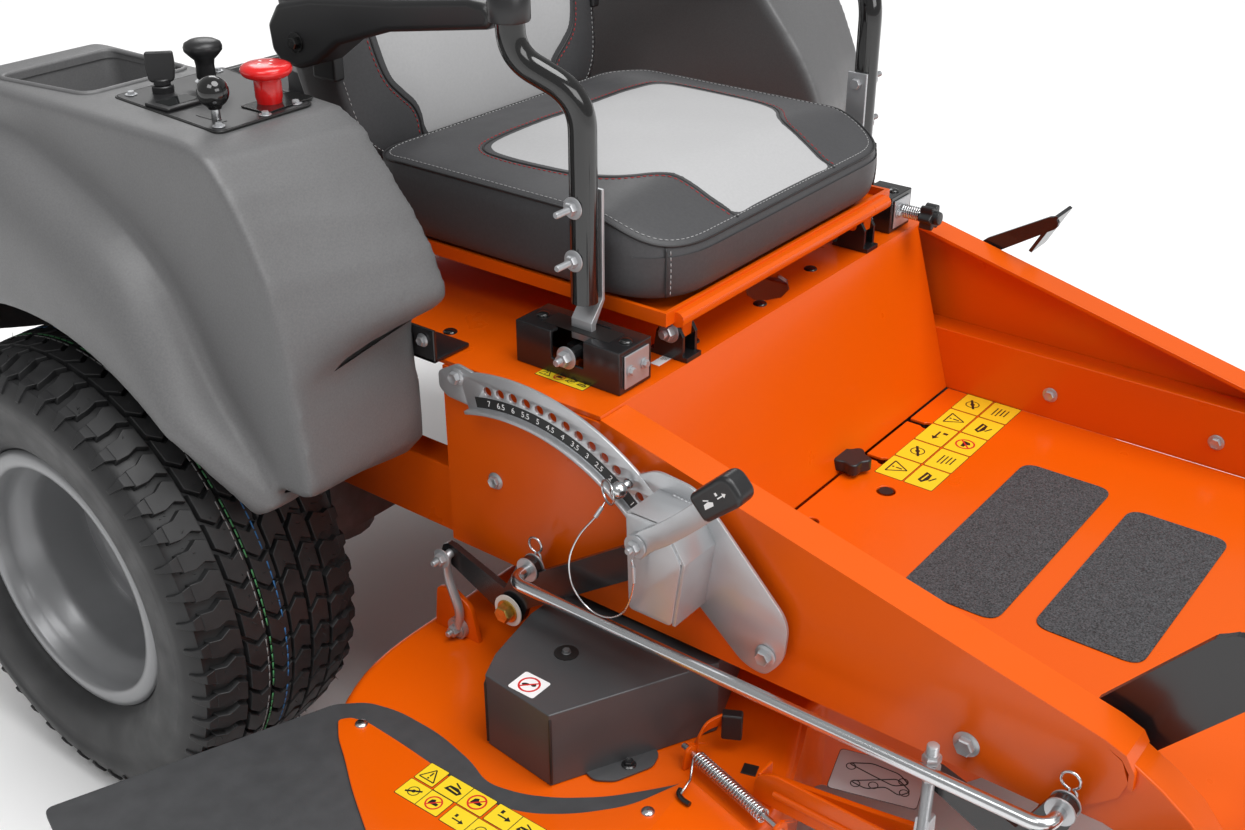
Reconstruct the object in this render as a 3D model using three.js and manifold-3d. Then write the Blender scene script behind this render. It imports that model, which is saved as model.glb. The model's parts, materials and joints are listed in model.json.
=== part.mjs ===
// Zero turn riding mower, millimetres, +Z up.
// Working axes: X = 0 is the centre plane with the operator's right at -X, Y = 0 is the rear axle
// with the front at -Y, Z = 0 is the ground. At the end the whole machine is shifted so that the
// middle of the base of its bounding box is the origin.
import * as THREE from "three";
import { mergeVertices } from "three/addons/utils/BufferGeometryUtils.js";
import { ConvexGeometry } from "three/addons/geometries/ConvexGeometry.js";
import Module from "manifold-3d";

const wasm = await Module();
wasm.setup();

// ---------------------------------------------------------------- driving dimensions
const GAP = 0.3; // between touching parts
const REAR_R = 292, REAR_W = 241, REAR_X = 566.5; // rear tyre radius, section width, centre plane
const REAR_RIM_R = 170, REAR_BEAD_R = 152;
const FRONT_R = 140, FRONT_W = 145; // caster tyre
const CASTER_X = 470, CASTER_Y = -1300, CASTER_TRAIL = 60;
const RAIL_IN = 328, RAIL_OUT = 366, RAIL_TOP = 440, RAIL_BOTTOM = 352;
const PANEL_OUT = 372, PANEL_REAR = -363;
const PLATFORM_TOP = 582, PLATFORM_W = 370, PLATFORM_FRONT = -584;
const FLOOR_TOP = 353, FLOOR_FRONT = -1130;
const DECK_TOP = 245, DECK_BOTTOM = 115, DECK_SHEET = 4;
const SPINDLES = [[-451, -600], [0, -720], [451, -600]];
const SHELL_R = 255, BLADE_R = 230;
const LIFT_REAR = [-484, 320], LIFT_PITCH = -613; // rear cross shaft (y, z) and distance to the front one
const HANGER_PIN = [92, 37], ROD_PIN = [-27, 64]; // crank pins from the shaft axis (y, z)
const LIFT_ARM_END = [-165, 129];
const ROD_X = 435, ROD_R = 7, CRANK_X = 400, CRANK_T = 8;
const ARC_R = 257; // height-of-cut hole circle about the rear lift shaft
const SEAT_HINGE = [-560, 615];
const LEVER_X = 295, LEVER_TOP_X = 331, LEVER_PIVOT = [-502, 607], LEVER_SWING_Z = 607;
const LEVER_TUBE_R = 15, GRIP_R = 20;
const CONSOLE_TOP = 857;
const KEY_AT = [-480, -80], CHOKE_AT = [-424, -82], THROTTLE_AT = [-511, -206], PTO_AT = [-440, -204];

// ---------------------------------------------------------------- materials
const mat = (color, roughness, metalness) => new THREE.MeshStandardMaterial({ color, roughness, metalness });
const ORANGE = mat(0xf2560d, 0.3, 0.15), BLACK = mat(0x151515, 0.35, 0.3), PLASTIC = mat(0x4a4a4a, 0.75, 0),
  RUBBER = mat(0x1b1b1b, 0.85, 0), ZINC = mat(0xb9bbbd, 0.4, 0.9), RIM = mat(0xa9abad, 0.45, 0.5),
  VINYL = mat(0x434345, 0.7, 0), COVER = mat(0x4c4d50, 0.5, 0.3), ALLOY = mat(0x8d9094, 0.5, 0.8),
  RED = mat(0xd8202a, 0.4, 0), WIRE = mat(0x9a9c9e, 0.35, 0.9);

// ---------------------------------------------------------------- geometry helpers
// A geometry with shared vertices, positions only, faces outward.
function clean(geometry) {
  const g = geometry.clone();
  for (const k of Object.keys(g.attributes)) if (k !== "position") g.deleteAttribute(k);
  const m = mergeVertices(g, 1e-3), p = m.attributes.position, index = Array.from(m.index.array), kept = [];
  for (let i = 0; i < index.length; i += 3)
    if (index[i] !== index[i + 1] && index[i + 1] !== index[i + 2] && index[i] !== index[i + 2]) kept.push(index[i], index[i + 1], index[i + 2]);
  let volume = 0;
  const a = new THREE.Vector3(), b = new THREE.Vector3(), c = new THREE.Vector3();
  for (let i = 0; i < kept.length; i += 3) {
    a.fromBufferAttribute(p, kept[i]); b.fromBufferAttribute(p, kept[i + 1]); c.fromBufferAttribute(p, kept[i + 2]);
    volume += a.dot(b.cross(c));
  }
  if (volume < 0) for (let i = 0; i < kept.length; i += 3) [kept[i], kept[i + 1]] = [kept[i + 1], kept[i]];
  m.setIndex(kept);
  return m;
}
function solid(geometry) {
  const g = clean(geometry);
  return new wasm.Manifold(new wasm.Mesh({ numProp: 3, vertProperties: new Float32Array(g.attributes.position.array), triVerts: new Uint32Array(g.index.array) }));
}
function geometryOf(s) {
  const m = s.getMesh(), n = m.numProp, v = new Float32Array(m.numVert * 3);
  for (let i = 0; i < m.numVert; i++) v.set(m.vertProperties.subarray(i * n, i * n + 3), i * 3);
  return new THREE.BufferGeometry().setAttribute("position", new THREE.BufferAttribute(v, 3)).setIndex(Array.from(m.triVerts));
}
const join = (...list) => list.reduce((a, b) => a.add(b));
const cut = (s, ...tools) => tools.reduce((a, b) => a.subtract(b), s);
// An axis-aligned block from its lowest to its highest corner.
function block(x0, x1, y0, y1, z0, z1) {
  const g = new THREE.BoxGeometry(x1 - x0, y1 - y0, z1 - z0);
  g.translate((x0 + x1) / 2, (y0 + y1) / 2, (z0 + z1) / 2);
  return solid(g);
}
const ring = (cx, cy, r, n = 16, from = 0) => Array.from({ length: n }, (_, i) => {
  const t = from + (2 * Math.PI * i) / n;
  return [cx + r * Math.cos(t), cy + r * Math.sin(t)];
});
function extruded(outline, depth, holes) {
  const shape = new THREE.Shape(outline.map(([x, y]) => new THREE.Vector2(x, y)));
  for (const h of holes) shape.holes.push(new THREE.Path(h.map(([x, y]) => new THREE.Vector2(x, y))));
  return new THREE.ExtrudeGeometry(shape, { depth, bevelEnabled: false, steps: 1 });
}
// Flat plates: outline in the plane named, between two values of the third axis.
function plateX(outline, x0, x1, holes = []) { // outline (y, z)
  const g = extruded(outline, x1 - x0, holes);
  g.applyMatrix4(new THREE.Matrix4().makeBasis(new THREE.Vector3(0, 1, 0), new THREE.Vector3(0, 0, 1), new THREE.Vector3(1, 0, 0)));
  g.translate(x0, 0, 0);
  return solid(g);
}
function plateY(outline, y0, y1, holes = []) { // outline (x, z)
  const g = extruded(outline, y1 - y0, holes);
  g.applyMatrix4(new THREE.Matrix4().makeBasis(new THREE.Vector3(1, 0, 0), new THREE.Vector3(0, 0, 1), new THREE.Vector3(0, -1, 0)));
  g.translate(0, y1, 0);
  return solid(g);
}
function plateZ(outline, z0, z1, holes = []) { // outline (x, y)
  const g = extruded(outline, z1 - z0, holes);
  g.translate(0, 0, z0);
  return solid(g);
}
// A round bar between two values on one axis.
function rod(axis, r, a0, a1, u, v, n = 16) {
  if (axis === "x") return plateX(ring(u, v, r, n), a0, a1);
  if (axis === "y") return plateY(ring(u, v, r, n), a0, a1);
  return plateZ(ring(u, v, r, n), a0, a1);
}
// A flat link with round ends, in a plane of constant x.
function link(p, rp, q, rq, x0, x1, n = 10) {
  const t = Math.atan2(q[1] - p[1], q[0] - p[0]), outline = [];
  for (let i = 0; i <= n / 2; i++) { const a = t + Math.PI / 2 + (Math.PI * i) / (n / 2); outline.push([p[0] + rp * Math.cos(a), p[1] + rp * Math.sin(a)]); }
  for (let i = 0; i <= n / 2; i++) { const a = t - Math.PI / 2 + (Math.PI * i) / (n / 2); outline.push([q[0] + rq * Math.cos(a), q[1] + rq * Math.sin(a)]); }
  return plateX(outline, x0, x1);
}
// A path of straight runs with rounded corners.
function route(points, radius) {
  const path = new THREE.CurvePath(), v = points.map((p) => new THREE.Vector3(...p));
  let from = v[0];
  for (let i = 1; i < v.length - 1; i++) {
    const a = v[i].clone().sub(v[i - 1]), b = v[i + 1].clone().sub(v[i]);
    const d = Math.min(radius, a.length() * 0.49, b.length() * 0.49);
    const s = v[i].clone().sub(a.normalize().multiplyScalar(d)), e = v[i].clone().add(b.normalize().multiplyScalar(d));
    path.add(new THREE.LineCurve3(from, s));
    path.add(new THREE.QuadraticBezierCurve3(s, v[i], e));
    from = e;
  }
  path.add(new THREE.LineCurve3(from, v[v.length - 1]));
  return path;
}
function sweep(path, r, steps, n = 12) {
  const shape = new THREE.Shape(ring(0, 0, r, n).map(([x, y]) => new THREE.Vector2(x, y)));
  return solid(new THREE.ExtrudeGeometry(shape, { steps, extrudePath: path, bevelEnabled: false }));
}
// A profile of (radius, height) pairs turned about an axis through a centre.
function turned(profile, axis, centre, n = 24, turn = 0) {
  const pts = profile.map(([r, a]) => new THREE.Vector2(r, a));
  if (profile[0][0] > 0) pts.push(pts[0].clone());
  const g = new THREE.LatheGeometry(pts, n);
  g.rotateY(turn);
  if (axis === "x") g.rotateZ(-Math.PI / 2);
  if (axis === "z") g.rotateX(Math.PI / 2);
  g.translate(...centre);
  return solid(g);
}
const hull = (points) => solid(new ConvexGeometry(points.map((p) => new THREE.Vector3(...p))));
function mirrored(s) {
  const g = geometryOf(s);
  g.applyMatrix4(new THREE.Matrix4().makeScale(-1, 1, 1));
  return solid(g);
}
function turnedAbout(s, axis, angle, centre) {
  const g = geometryOf(s);
  g.translate(-centre[0], -centre[1], -centre[2]);
  g.applyMatrix4(new THREE.Matrix4().makeRotationAxis(new THREE.Vector3(...axis).normalize(), angle));
  g.translate(...centre);
  return solid(g);
}
const offset = (p, q) => [p[0] + q[0], p[1] + q[1]];

// ---------------------------------------------------------------- the assembly
const machine = new THREE.Group();
// A mesh whose local origin is its own reference point, such as the pivot it turns on.
function add(parent, name, s, material, at = [0, 0, 0]) {
  const g = geometryOf(s);
  const base = parent.userData.at || [0, 0, 0];
  g.translate(-at[0], -at[1], -at[2]);
  const mesh = new THREE.Mesh(g, material);
  mesh.name = name;
  mesh.position.set(at[0] - base[0], at[1] - base[1], at[2] - base[2]);
  parent.add(mesh);
  return mesh;
}
function group(parent, at) {
  const g = new THREE.Group(), base = parent.userData.at || [0, 0, 0];
  g.position.set(at[0] - base[0], at[1] - base[1], at[2] - base[2]);
  g.userData.at = at;
  parent.add(g);
  return g;
}
const pair = (parent, name, s, material, at = [0, 0, 0]) => {
  add(parent, name + "_right", s, material, at);
  add(parent, name + "_left", mirrored(s), material, [-at[0], at[1], at[2]]);
};

// --- frame rails: box tube that curves down at the front
const railOutline = [[440, RAIL_TOP], [-1128, RAIL_TOP], [-1163, 431], [-1194, 414], [-1222, 394], [-1246, 366], [-1262, 344],
  [-1262, 304], [-1240, 304], [-1212, 328], [-1180, 345], [-1150, RAIL_BOTTOM], [440, RAIL_BOTTOM]];
const rail = plateX(railOutline, -RAIL_OUT, -RAIL_IN);
const railHollow = plateX([[445, RAIL_TOP - 4], [-1120, RAIL_TOP - 4], [-1150, 424], [-1150, 360], [-1120, RAIL_BOTTOM + 4], [445, RAIL_BOTTOM + 4]], -RAIL_OUT + 4, -RAIL_IN - 4);
pair(machine, "rail", cut(rail, railHollow), ORANGE);

// --- side panels: outer sheet with a wide sloping top flange
const slope = (y) => 581 + ((y + 580) * (581 - 443)) / (1160 - 580);
const panelSheet = plateX([[PANEL_REAR, 348], [PANEL_REAR, 576], [-580, 576], [-1140, slope(-1140) - 5], [-1158, 432], [-1166, 412], [-1160, 392], [-1130, 366], [-1100, 348]],
  -PANEL_OUT, -RAIL_OUT - GAP);
const panelFlange = plateX([[-586, slope(-586) - 5], [-586, slope(-586)], [-1140, slope(-1140)], [-1160, 440], [-1170, 424], [-1171, 406], [-1166, 406], [-1165, 422], [-1157, 434], [-1138, slope(-1138) - 5]],
  -PANEL_OUT, -RAIL_IN);
// the flange's front curl is cut back over the rail
const railRelief = plateX([[-1100, 440.4], [-1128, 440.4], [-1163, 431.6], [-1194, 414.6], [-1222, 394.6], [-1222, 300], [-1100, 300]], -RAIL_OUT - GAP, -RAIL_IN + 1);
pair(machine, "side_panel", cut(join(panelSheet, panelFlange), railRelief), ORANGE);

// --- seat platform: top sheet, inclined front face, rear wall standing on the rails
const seatPlatform = (() => {
  const profile = [[-62, PLATFORM_TOP], [PLATFORM_FRONT, PLATFORM_TOP], [-653, FLOOR_TOP + GAP], [-648, FLOOR_TOP + GAP], [-580, 577.0], [-67, 577.0], [-67, RAIL_TOP + GAP], [-62, RAIL_TOP + GAP]];
  const sheet = plateX(profile, -PLATFORM_W, PLATFORM_W);
  // the front face narrows to pass between the rails, and the flanges of the side panels
  const relief = (s) => join(
    block(s > 0 ? RAIL_IN - GAP : -400, s > 0 ? 400 : -RAIL_IN + GAP, -700, -578, 340, 583 - 5.6),
    block(s > 0 ? RAIL_IN - GAP : -400, s > 0 ? 400 : -RAIL_IN + GAP, -700, -585.5 + 0.0, 570, 590));
  const slot = plateZ([[-16, -560], [-24, -548], [-18, -534], [8, -512], [34, -504], [56, -512], [62, -528], [54, -546], [30, -564], [2, -570]], 560, 600);
  return cut(sheet, relief(1), relief(-1), slot);
})();
add(machine, "seat_platform", seatPlatform, ORANGE);

// --- floor plate with key slots at its rear edge, and the lower front panel
const floorPlate = (() => {
  const main = plateX([[-656, FLOOR_TOP], [-656, FLOOR_TOP - 4], [FLOOR_FRONT - 2, FLOOR_TOP - 4], [-1256, 318], [-1257, 322], [FLOOR_FRONT, FLOOR_TOP]], -RAIL_IN + GAP, RAIL_IN - GAP);
  const keys = [-90, 90, 210].map((x) => join(block(x - 5, x + 5, -680, -650, 300, 400), rod("z", 9, 300, 400, x, -684, 12)));
  const notch = block(-340, -300, -1170, -1045, 300, 400);
  return cut(main, ...keys, rod("z", 12, 300, 400, 26, -721, 16), notch);
})();
add(machine, "floor_plate", floorPlate, ORANGE);

// --- front cross member with the two caster barrels
const crossmember = (() => {
  const beam = block(-CASTER_X + 6, CASTER_X - 6, -1334, -1276, 296, 356);
  const tabs = [-1, 1].map((s) => block(Math.min(s * RAIL_IN, s * RAIL_OUT) + 1, Math.max(s * RAIL_IN, s * RAIL_OUT) - 1, -1290, -1262.3, 306, 342));
  const barrels = [-1, 1].map((s) => rod("z", 33, 290, 392, s * CASTER_X, CASTER_Y, 20));
  const bores = [-1, 1].map((s) => rod("z", 13.2, 280, 400, s * CASTER_X, CASTER_Y, 16));
  return cut(join(beam, ...tabs, ...barrels), ...bores);
})();
add(machine, "front_crossmember", crossmember, ORANGE);

// --- rear frame: engine plate on the rails and the tubular guard behind it
const rearFrame = (() => {
  const plate = plateZ([[-RAIL_OUT, -55], [RAIL_OUT, -55], [RAIL_OUT, 445], [-RAIL_OUT, 445]], RAIL_TOP + GAP, RAIL_TOP + 6);
  const wall = block(-RAIL_OUT, RAIL_OUT, 440.3, 447, 352, RAIL_TOP + 6);
  const guard = sweep(route([[-300, 445, 400], [-300, 560, 400], [-300, 560, 640], [300, 560, 640], [300, 560, 400], [300, 445, 400]], 70), 19, 24, 10);
  const bar = rod("x", 14, -300, 300, 560, 520, 8);
  return join(plate, wall, guard, bar);
})();
add(machine, "rear_frame", rearFrame, BLACK);

// --- fenders: moulded pod over the wheel with a flared arch; bin and console recess on top
const podFront = [[-262, CONSOLE_TOP], [-300, 822], [-336, 757], [-362, 700], [-384, 668], [-372, 652], [-345, 634], [-348, 590], [-362, 520], [-352, 482], [-322, 456]];
// the pod's lower edge rises towards the outside
const podSkew = plateY([[-384, 447], [-579, 500], [-700, 500], [-700, 380], [-384, 380]], -420, 420);
const podOutline = [...podFront, [-250, 448], [270, 448], [330, 470], [352, 540], [330, 640], [270, 760], [200, 838], [150, CONSOLE_TOP]];
const podInner = [[-258, CONSOLE_TOP - 6], [-294, 818], [-330, 754], [-352, 700], [-360, 668], [-338, 640], [-340, 590], [-354, 520], [-345, 488], [-318, 400], [330, 400], [344, 540], [324, 636], [264, 756], [196, 832], [148, CONSOLE_TOP - 6]];
function arcBand(r0, r1, from, to, n) { // about the rear axle, angles from the front (-Y) over the top
  const p = [], at = (r, t) => [-r * Math.cos(t), REAR_R + r * Math.sin(t)];
  for (let i = 0; i <= n; i++) { const t = from + ((to - from) * i) / n; p.push(at(typeof r1 === "function" ? r1(i / n) : r1, t)); }
  for (let i = n; i >= 0; i--) { const t = from + ((to - from) * i) / n; p.push(at(typeof r0 === "function" ? r0(i / n) : r0, t)); }
  return p;
}
const flareTop = (k) => 372 + 128 * Math.sin(Math.min(1, k * 1.35) * Math.PI / 2) - 110 * Math.max(0, k - 0.62) / 0.38;
const A0 = (32 * Math.PI) / 180, A1 = (152 * Math.PI) / 180;
const fenderShell = (() => {
  const pod = plateX(podOutline, -578, -385);
  const inside = plateX(podInner, -572, -391);
  const flare = plateX(arcBand(345, flareTop, A0, A1, 10), -645, -570);
  const flareInside = plateX(arcBand(330, (k) => flareTop(k) - 7, A0 - 0.1, A1 + 0.1, 10), -638, -560);
  const arch = plateX(ring(0, REAR_R, 345, 32), -660, -440);
  return { pod, inside, flare, flareInside, arch };
})();
const fenderBase = (() => {
  const { pod, inside, flare, flareInside, arch } = fenderShell;
  return cut(join(cut(pod, inside, podSkew), cut(flare, flareInside)), arch);
})();
// right: console over y -265..-40, storage bin behind it
const bin = (grow) => hull([[-553 - grow, 116 + grow, 870], [-405 + grow, 120 + grow, 870], [-534 - grow, -20 - grow, 870], [-402 + grow, -20 - grow, 870],
  [-540 - grow, 104 + grow, 740 - grow], [-412 + grow, 106 + grow, 740 - grow], [-526 - grow, -10 - grow, 740 - grow], [-410 + grow, -10 - grow, 740 - grow]]);
const fenderRight = (() => {
  const pocket = cut(bin(5).intersect(block(-600, -380, -100, 200, 700, CONSOLE_TOP - 1)), bin(0));
  return cut(join(cut(fenderBase, bin(0)), pocket), rod("z", 10.4, 840, 870, ...PTO_AT, 12), rod("z", 6.4, 840, 870, ...CHOKE_AT, 10),
    rod("z", 9.8, 840, 870, ...KEY_AT, 10), block(THROTTLE_AT[0] - 3.5, THROTTLE_AT[0] + 3.5, THROTTLE_AT[1] - 9, THROTTLE_AT[1] + 28, 840, 870));
})();
add(machine, "fender_right", fenderRight, PLASTIC);
const fenderLeft = cut(mirrored(fenderBase), rod("z", 30, 830, 880, 480, 40, 20));
add(machine, "fender_left", fenderLeft, PLASTIC);
add(machine, "fuel_cap", join(rod("z", 29.5, 835, CONSOLE_TOP + GAP, 480, 40, 20), rod("z", 42, CONSOLE_TOP + GAP, CONSOLE_TOP + 24, 480, 40, 24)), BLACK, [480, 40, CONSOLE_TOP]);

// --- console controls
add(machine, "ignition_key", join(rod("z", 9, 845, 872, ...KEY_AT, 10), block(KEY_AT[0] - 3, KEY_AT[0] + 3, KEY_AT[1] - 16, KEY_AT[1] + 16, 870, 900)), BLACK, [...KEY_AT, 862]);
add(machine, "throttle_lever", join(block(THROTTLE_AT[0] - 2, THROTTLE_AT[0] + 2, THROTTLE_AT[1] - 7, THROTTLE_AT[1] + 7, 820, 866), rod("z", 5, 864, 874, ...THROTTLE_AT, 10),
  turned([[0, -17.5], [10, -14.4], [16, -7], [17.5, 0], [16, 7], [10, 14.4], [0, 17.5]], "z", [...THROTTLE_AT, 886], 12)), BLACK, [...THROTTLE_AT, 824]);
add(machine, "choke_knob", join(rod("z", 5.8, 830, 868, ...CHOKE_AT, 10), turned([[0, 866], [9, 866], [10, 880], [18, 888], [20, 897], [0, 902]], "z", [...CHOKE_AT, 0], 12)), BLACK, [...CHOKE_AT, CONSOLE_TOP]);
add(machine, "pto_switch", join(rod("z", 9.8, 830, 866, ...PTO_AT, 12), turned([[0, 862], [13, 862], [13, 878], [22, 884], [22, 891], [0, 896]], "z", [...PTO_AT, 0], 14)), RED, [...PTO_AT, CONSOLE_TOP]);

// --- hydrostatic transaxles: gear case, pump housing and the wheel shaft
const hydro = (() => {
  const gearCase = hull([[-372, -95, 250], [-372, 90, 250], [-372, -95, 345], [-372, 90, 345], [-435, -60, 270], [-435, 60, 270], [-435, -60, 330], [-435, 60, 330]]);
  const pump = hull([[-240, -150, 262], [-240, 60, 262], [-240, -150, 345], [-240, 60, 345], [-373, -150, 262], [-373, 60, 262], [-373, -150, 345], [-373, 60, 345]]);
  const shaft = rod("x", 16.4, -566, -430, 0, REAR_R, 16);
  const fan = rod("z", 62, 225, 240, -306, -60, 20), neck = rod("z", 16, 238, 264, -306, -60, 12);
  const tower = block(-350, -262, -110, 20, 344, 351.6);
  return join(gearCase, pump, shaft, neck, fan, tower);
})();
pair(machine, "hydro", hydro, ALLOY);

// --- engine: block, two cylinders, blower housing, intake and exhaust
const engine = (() => {
  const base = block(-150, 150, 90, 380, 446.3, 500);
  const crank = hull([...ring(0, 235, 150, 12).map(([x, y]) => [x, y, 495]), ...ring(0, 235, 135, 12).map(([x, y]) => [x, y, 640])]);
  const cyl = (s) => hull([[s * 60, 120, 520], [s * 60, 330, 520], [s * 60, 120, 640], [s * 60, 330, 640], [s * 255, 60, 540], [s * 255, 200, 540], [s * 255, 60, 650], [s * 255, 200, 650]]);
  const blower = turned([[0, 616], [185, 616], [190, 630], [185, 668], [150, 696], [110, 706], [0, 706]], "z", [0, 235, 0], 18);
  const air = rod("z", 70, 700, 742, 10, 200, 14);
  const muffler = hull([[-170, 400, 480], [170, 400, 480], [-170, 480, 480], [170, 480, 480], [-170, 400, 590], [170, 400, 590], [-170, 480, 590], [170, 480, 590]]);
  const pipe = block(-120, -80, 330, 405, 520, 560);
  return join(base, crank, cyl(-1), cyl(1), blower, air, muffler, pipe);
})();
add(machine, "engine", engine, BLACK);

// --- height-of-cut quadrant, its lower plate and the latch bracket
const arcAt = (r, t) => [LIFT_REAR[0] - r * Math.cos(t), LIFT_REAR[1] + r * Math.sin(t)];
const quadrant = (() => {
  const outline = [];
  const t0 = (47 * Math.PI) / 180, t1 = (107 * Math.PI) / 180;
  for (let i = 0; i <= 10; i++) outline.push(arcAt(277, t0 + ((t1 - t0) * i) / 10));
  for (let i = 10; i >= 0; i--) outline.push(arcAt(232, t0 + ((t1 - t0) * i) / 10));
  const holes = Array.from({ length: 13 }, (_, i) => ring(...arcAt(ARC_R, ((50.3 + 4.05 * i) * Math.PI) / 180), 5.6, 8));
  const face = plateX(outline, -388, -384, holes);
  const lip = plateX([...Array.from({ length: 11 }, (_, i) => arcAt(235, t0 + ((t1 - t0) * i) / 10)), ...Array.from({ length: 11 }, (_, i) => arcAt(231, t1 + ((t0 - t1) * i) / 10))], -396, -384.5);
  const ear = plateX([[-372, 578], [-372, 558], [-384, 550], [-420, 548], [-425, 590], [-400, 594]], -388, -384);
  const post = rod("x", 9, -386, -PANEL_OUT - GAP, -385, 567, 12);
  const plate = plateX([[-640, 540], [-668, 556], [-716, 552], [-740, 531], [-830, 440], [-826, 392], [-806, 366], [-780, 370], [-716, 424], [-676, 452], [-664, 500]], -388, -384);
  const foot = rod("x", 11, -386, -PANEL_OUT - GAP, -800, 384, 12);
  // folded latch bracket, open at the rear towards the lift arm
  const side = plateX([[-672, 536], [-716, 536], [-738, 500], [-728, 424], [-676, 424]], -442, -438);
  const top = block(-440, -386, -716, -672, 532, 536), back = plateX([[-716, 536], [-720, 534], [-742, 500], [-732, 424], [-728, 424], [-738, 500]], -440, -386);
  return join(face, lip, ear, post, plate, foot, side, top, back);
})();
add(machine, "height_quadrant", quadrant, ZINC);
const PIN_ANGLE = (54.35 * Math.PI) / 180, PIN_AT = arcAt(ARC_R, PIN_ANGLE);
const heightPin = join(rod("x", 4.8, -395, -374, PIN_AT[0], PIN_AT[1], 12), rod("x", 8, -398, -389, PIN_AT[0], PIN_AT[1], 12));
add(machine, "height_pin", heightPin, ZINC, [-390, ...PIN_AT]);
// transport release lever on the outside of the latch bracket
const releaseLever = (() => {
  const hub = rod("x", 12, -452, -442.3, -690, 508, 16);
  const arm = plateX([[-684, 500], [-696, 522], [-736, 548], [-800, 612], [-812, 602], [-748, 532], [-706, 500]], -450, -445);
  const grip = plateX([[-752, 586], [-790, 628], [-812, 628], [-820, 606], [-776, 562]], -456, -432);
  return join(hub, arm, grip);
})();
add(machine, "release_lever", releaseLever, ZINC, [-446, -690, 508]);
// wire lanyard: from the pin's head out, down in a loop and up to the bracket's bolt
const LANYARD = [[-393, PIN_AT[0] + 7.5, PIN_AT[1] - 6.8], [-408, PIN_AT[0] + 9, PIN_AT[1] - 8.5], [-426, -622, 512], [-444, -613, 497], [-452, -606, 474], [-452, -604, 446], [-452, -616, 422],
  [-452, -640, 408], [-452, -664, 414], [-452, -680, 432], [-453, -688, 456], [-454, -690, 478], [-454.5, -690, 491]];
add(machine, "pin_lanyard", sweep(new THREE.CatmullRomCurve3(LANYARD.map((p) => new THREE.Vector3(...p)), false, "centripetal"), 1.2, 40, 8), WIRE, LANYARD[0]);

// --- parking brake lever on the left
const brakeLever = (() => {
  const arm = join(link([-600, 480], 16, [-672, 556], 11, 376, 382), link([-672, 556], 11, [-752, 606], 9, 376, 382));
  const handle = turnedAbout(block(376, 424, -746, -741, 556, 620), [1, 0, 0], (28 * Math.PI) / 180, [400, -744, 590]);
  return join(arm, handle, rod("x", 9, PANEL_OUT + GAP, 390, -600, 480, 12));
})();
add(machine, "park_brake_lever", brakeLever, BLACK, [380, -600, 480]);

// --- drive lever housings: open-bottomed black boxes with a slot on top
const housing = cut(block(-323, -267, -573, -430, PLATFORM_TOP + GAP, 632), block(-319, -271, -569, -434, 560, 628), block(-310, -278, -528, -476, 600, 640), block(-330, -300, -524, -480, 600, 640));
pair(machine, "lever_housing", housing, BLACK);
const rocker = join(rod("x", 8, -317, -273, ...LEVER_PIVOT, 16), block(-303.5, -286.5, -518, -486, 599, 612));
const leverArm = plateY([[-299, 618], [-291, 618], [-291, 638], [-275.4, 662], [-275.4, 786], [-279.6, 786], [-279.6, 664], [-299, 642]], -517, -489);
const leverTube = join(sweep(route([[-LEVER_X, -505, 667], [-LEVER_X, -505, 884], [-LEVER_TOP_X, -446, 924], [-LEVER_TOP_X, -444, 972]], 26), LEVER_TUBE_R, 13, 10),
  sweep(route([[-LEVER_TOP_X, -444, 966], [-LEVER_TOP_X, -443, 1034], [-LEVER_TOP_X + 6, -452, 1100]], 30), GRIP_R, 5, 12));
for (const s of [-1, 1]) {
  const side = s < 0 ? "_right" : "_left", flip = (x) => (s < 0 ? x : mirrored(x));
  const base = group(machine, [s * LEVER_X, ...LEVER_PIVOT]);
  add(base, "lever_rocker" + side, flip(rocker), BLACK, [s * LEVER_X, ...LEVER_PIVOT]);
  const lever = group(base, [s * LEVER_X, LEVER_PIVOT[0], LEVER_SWING_Z]);
  add(lever, "lever_arm" + side, flip(leverArm), ZINC, [s * LEVER_X, LEVER_PIVOT[0], LEVER_SWING_Z]);
  add(lever, "lever_tube" + side, flip(leverTube), BLACK, [s * LEVER_X, -505, 667]);
}

// --- seat: hinge brackets on the platform, pan, cushion, backrest and armrests
const seatBracket = cut(join(block(-216, -188, -592 + 8, -532, PLATFORM_TOP + GAP, 588), plateX([[-578, 584], [-578, 612], [-568, 627], [-552, 627], [-542, 612], [-538, 584]], -216, -211.5), plateX([[-578, 584], [-578, 612], [-568, 627], [-552, 627], [-542, 612], [-538, 584]], -192.5, -188)),
  rod("x", 6.2, -230, -180, ...SEAT_HINGE, 12));
pair(machine, "seat_hinge", seatBracket, BLACK);
const seat = group(machine, [0, ...SEAT_HINGE]);
const seatPan = (() => {
  const tray = cut(block(-248, 248, -578, -70, 636, 652), block(-243, 243, -573, -75, 641, 660));
  const roll = rod("x", 9, -232, 232, -581, 640, 12);
  const lug = (s) => plateX([[-575, 640], [-573, 608], [-566, 602], [-554, 602], [-546, 612], [-544, 640]], s > 0 ? 193 : -211, s > 0 ? 211 : -193);
  const pin = (s) => rod("x", 5.8, s > 0 ? 185 : -219, s > 0 ? 219 : -185, ...SEAT_HINGE, 12);
  const stay = plateX([[-110, 641], [-70, 641], [-26, 700], [34, 1000], [28, 1001], [-34, 706], [-72, 652]], -130, 130);
  return join(tray, roll, lug(1), lug(-1), pin(1), pin(-1), stay);
})();
add(seat, "seat_pan", seatPan, ORANGE, [0, ...SEAT_HINGE]);
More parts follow.
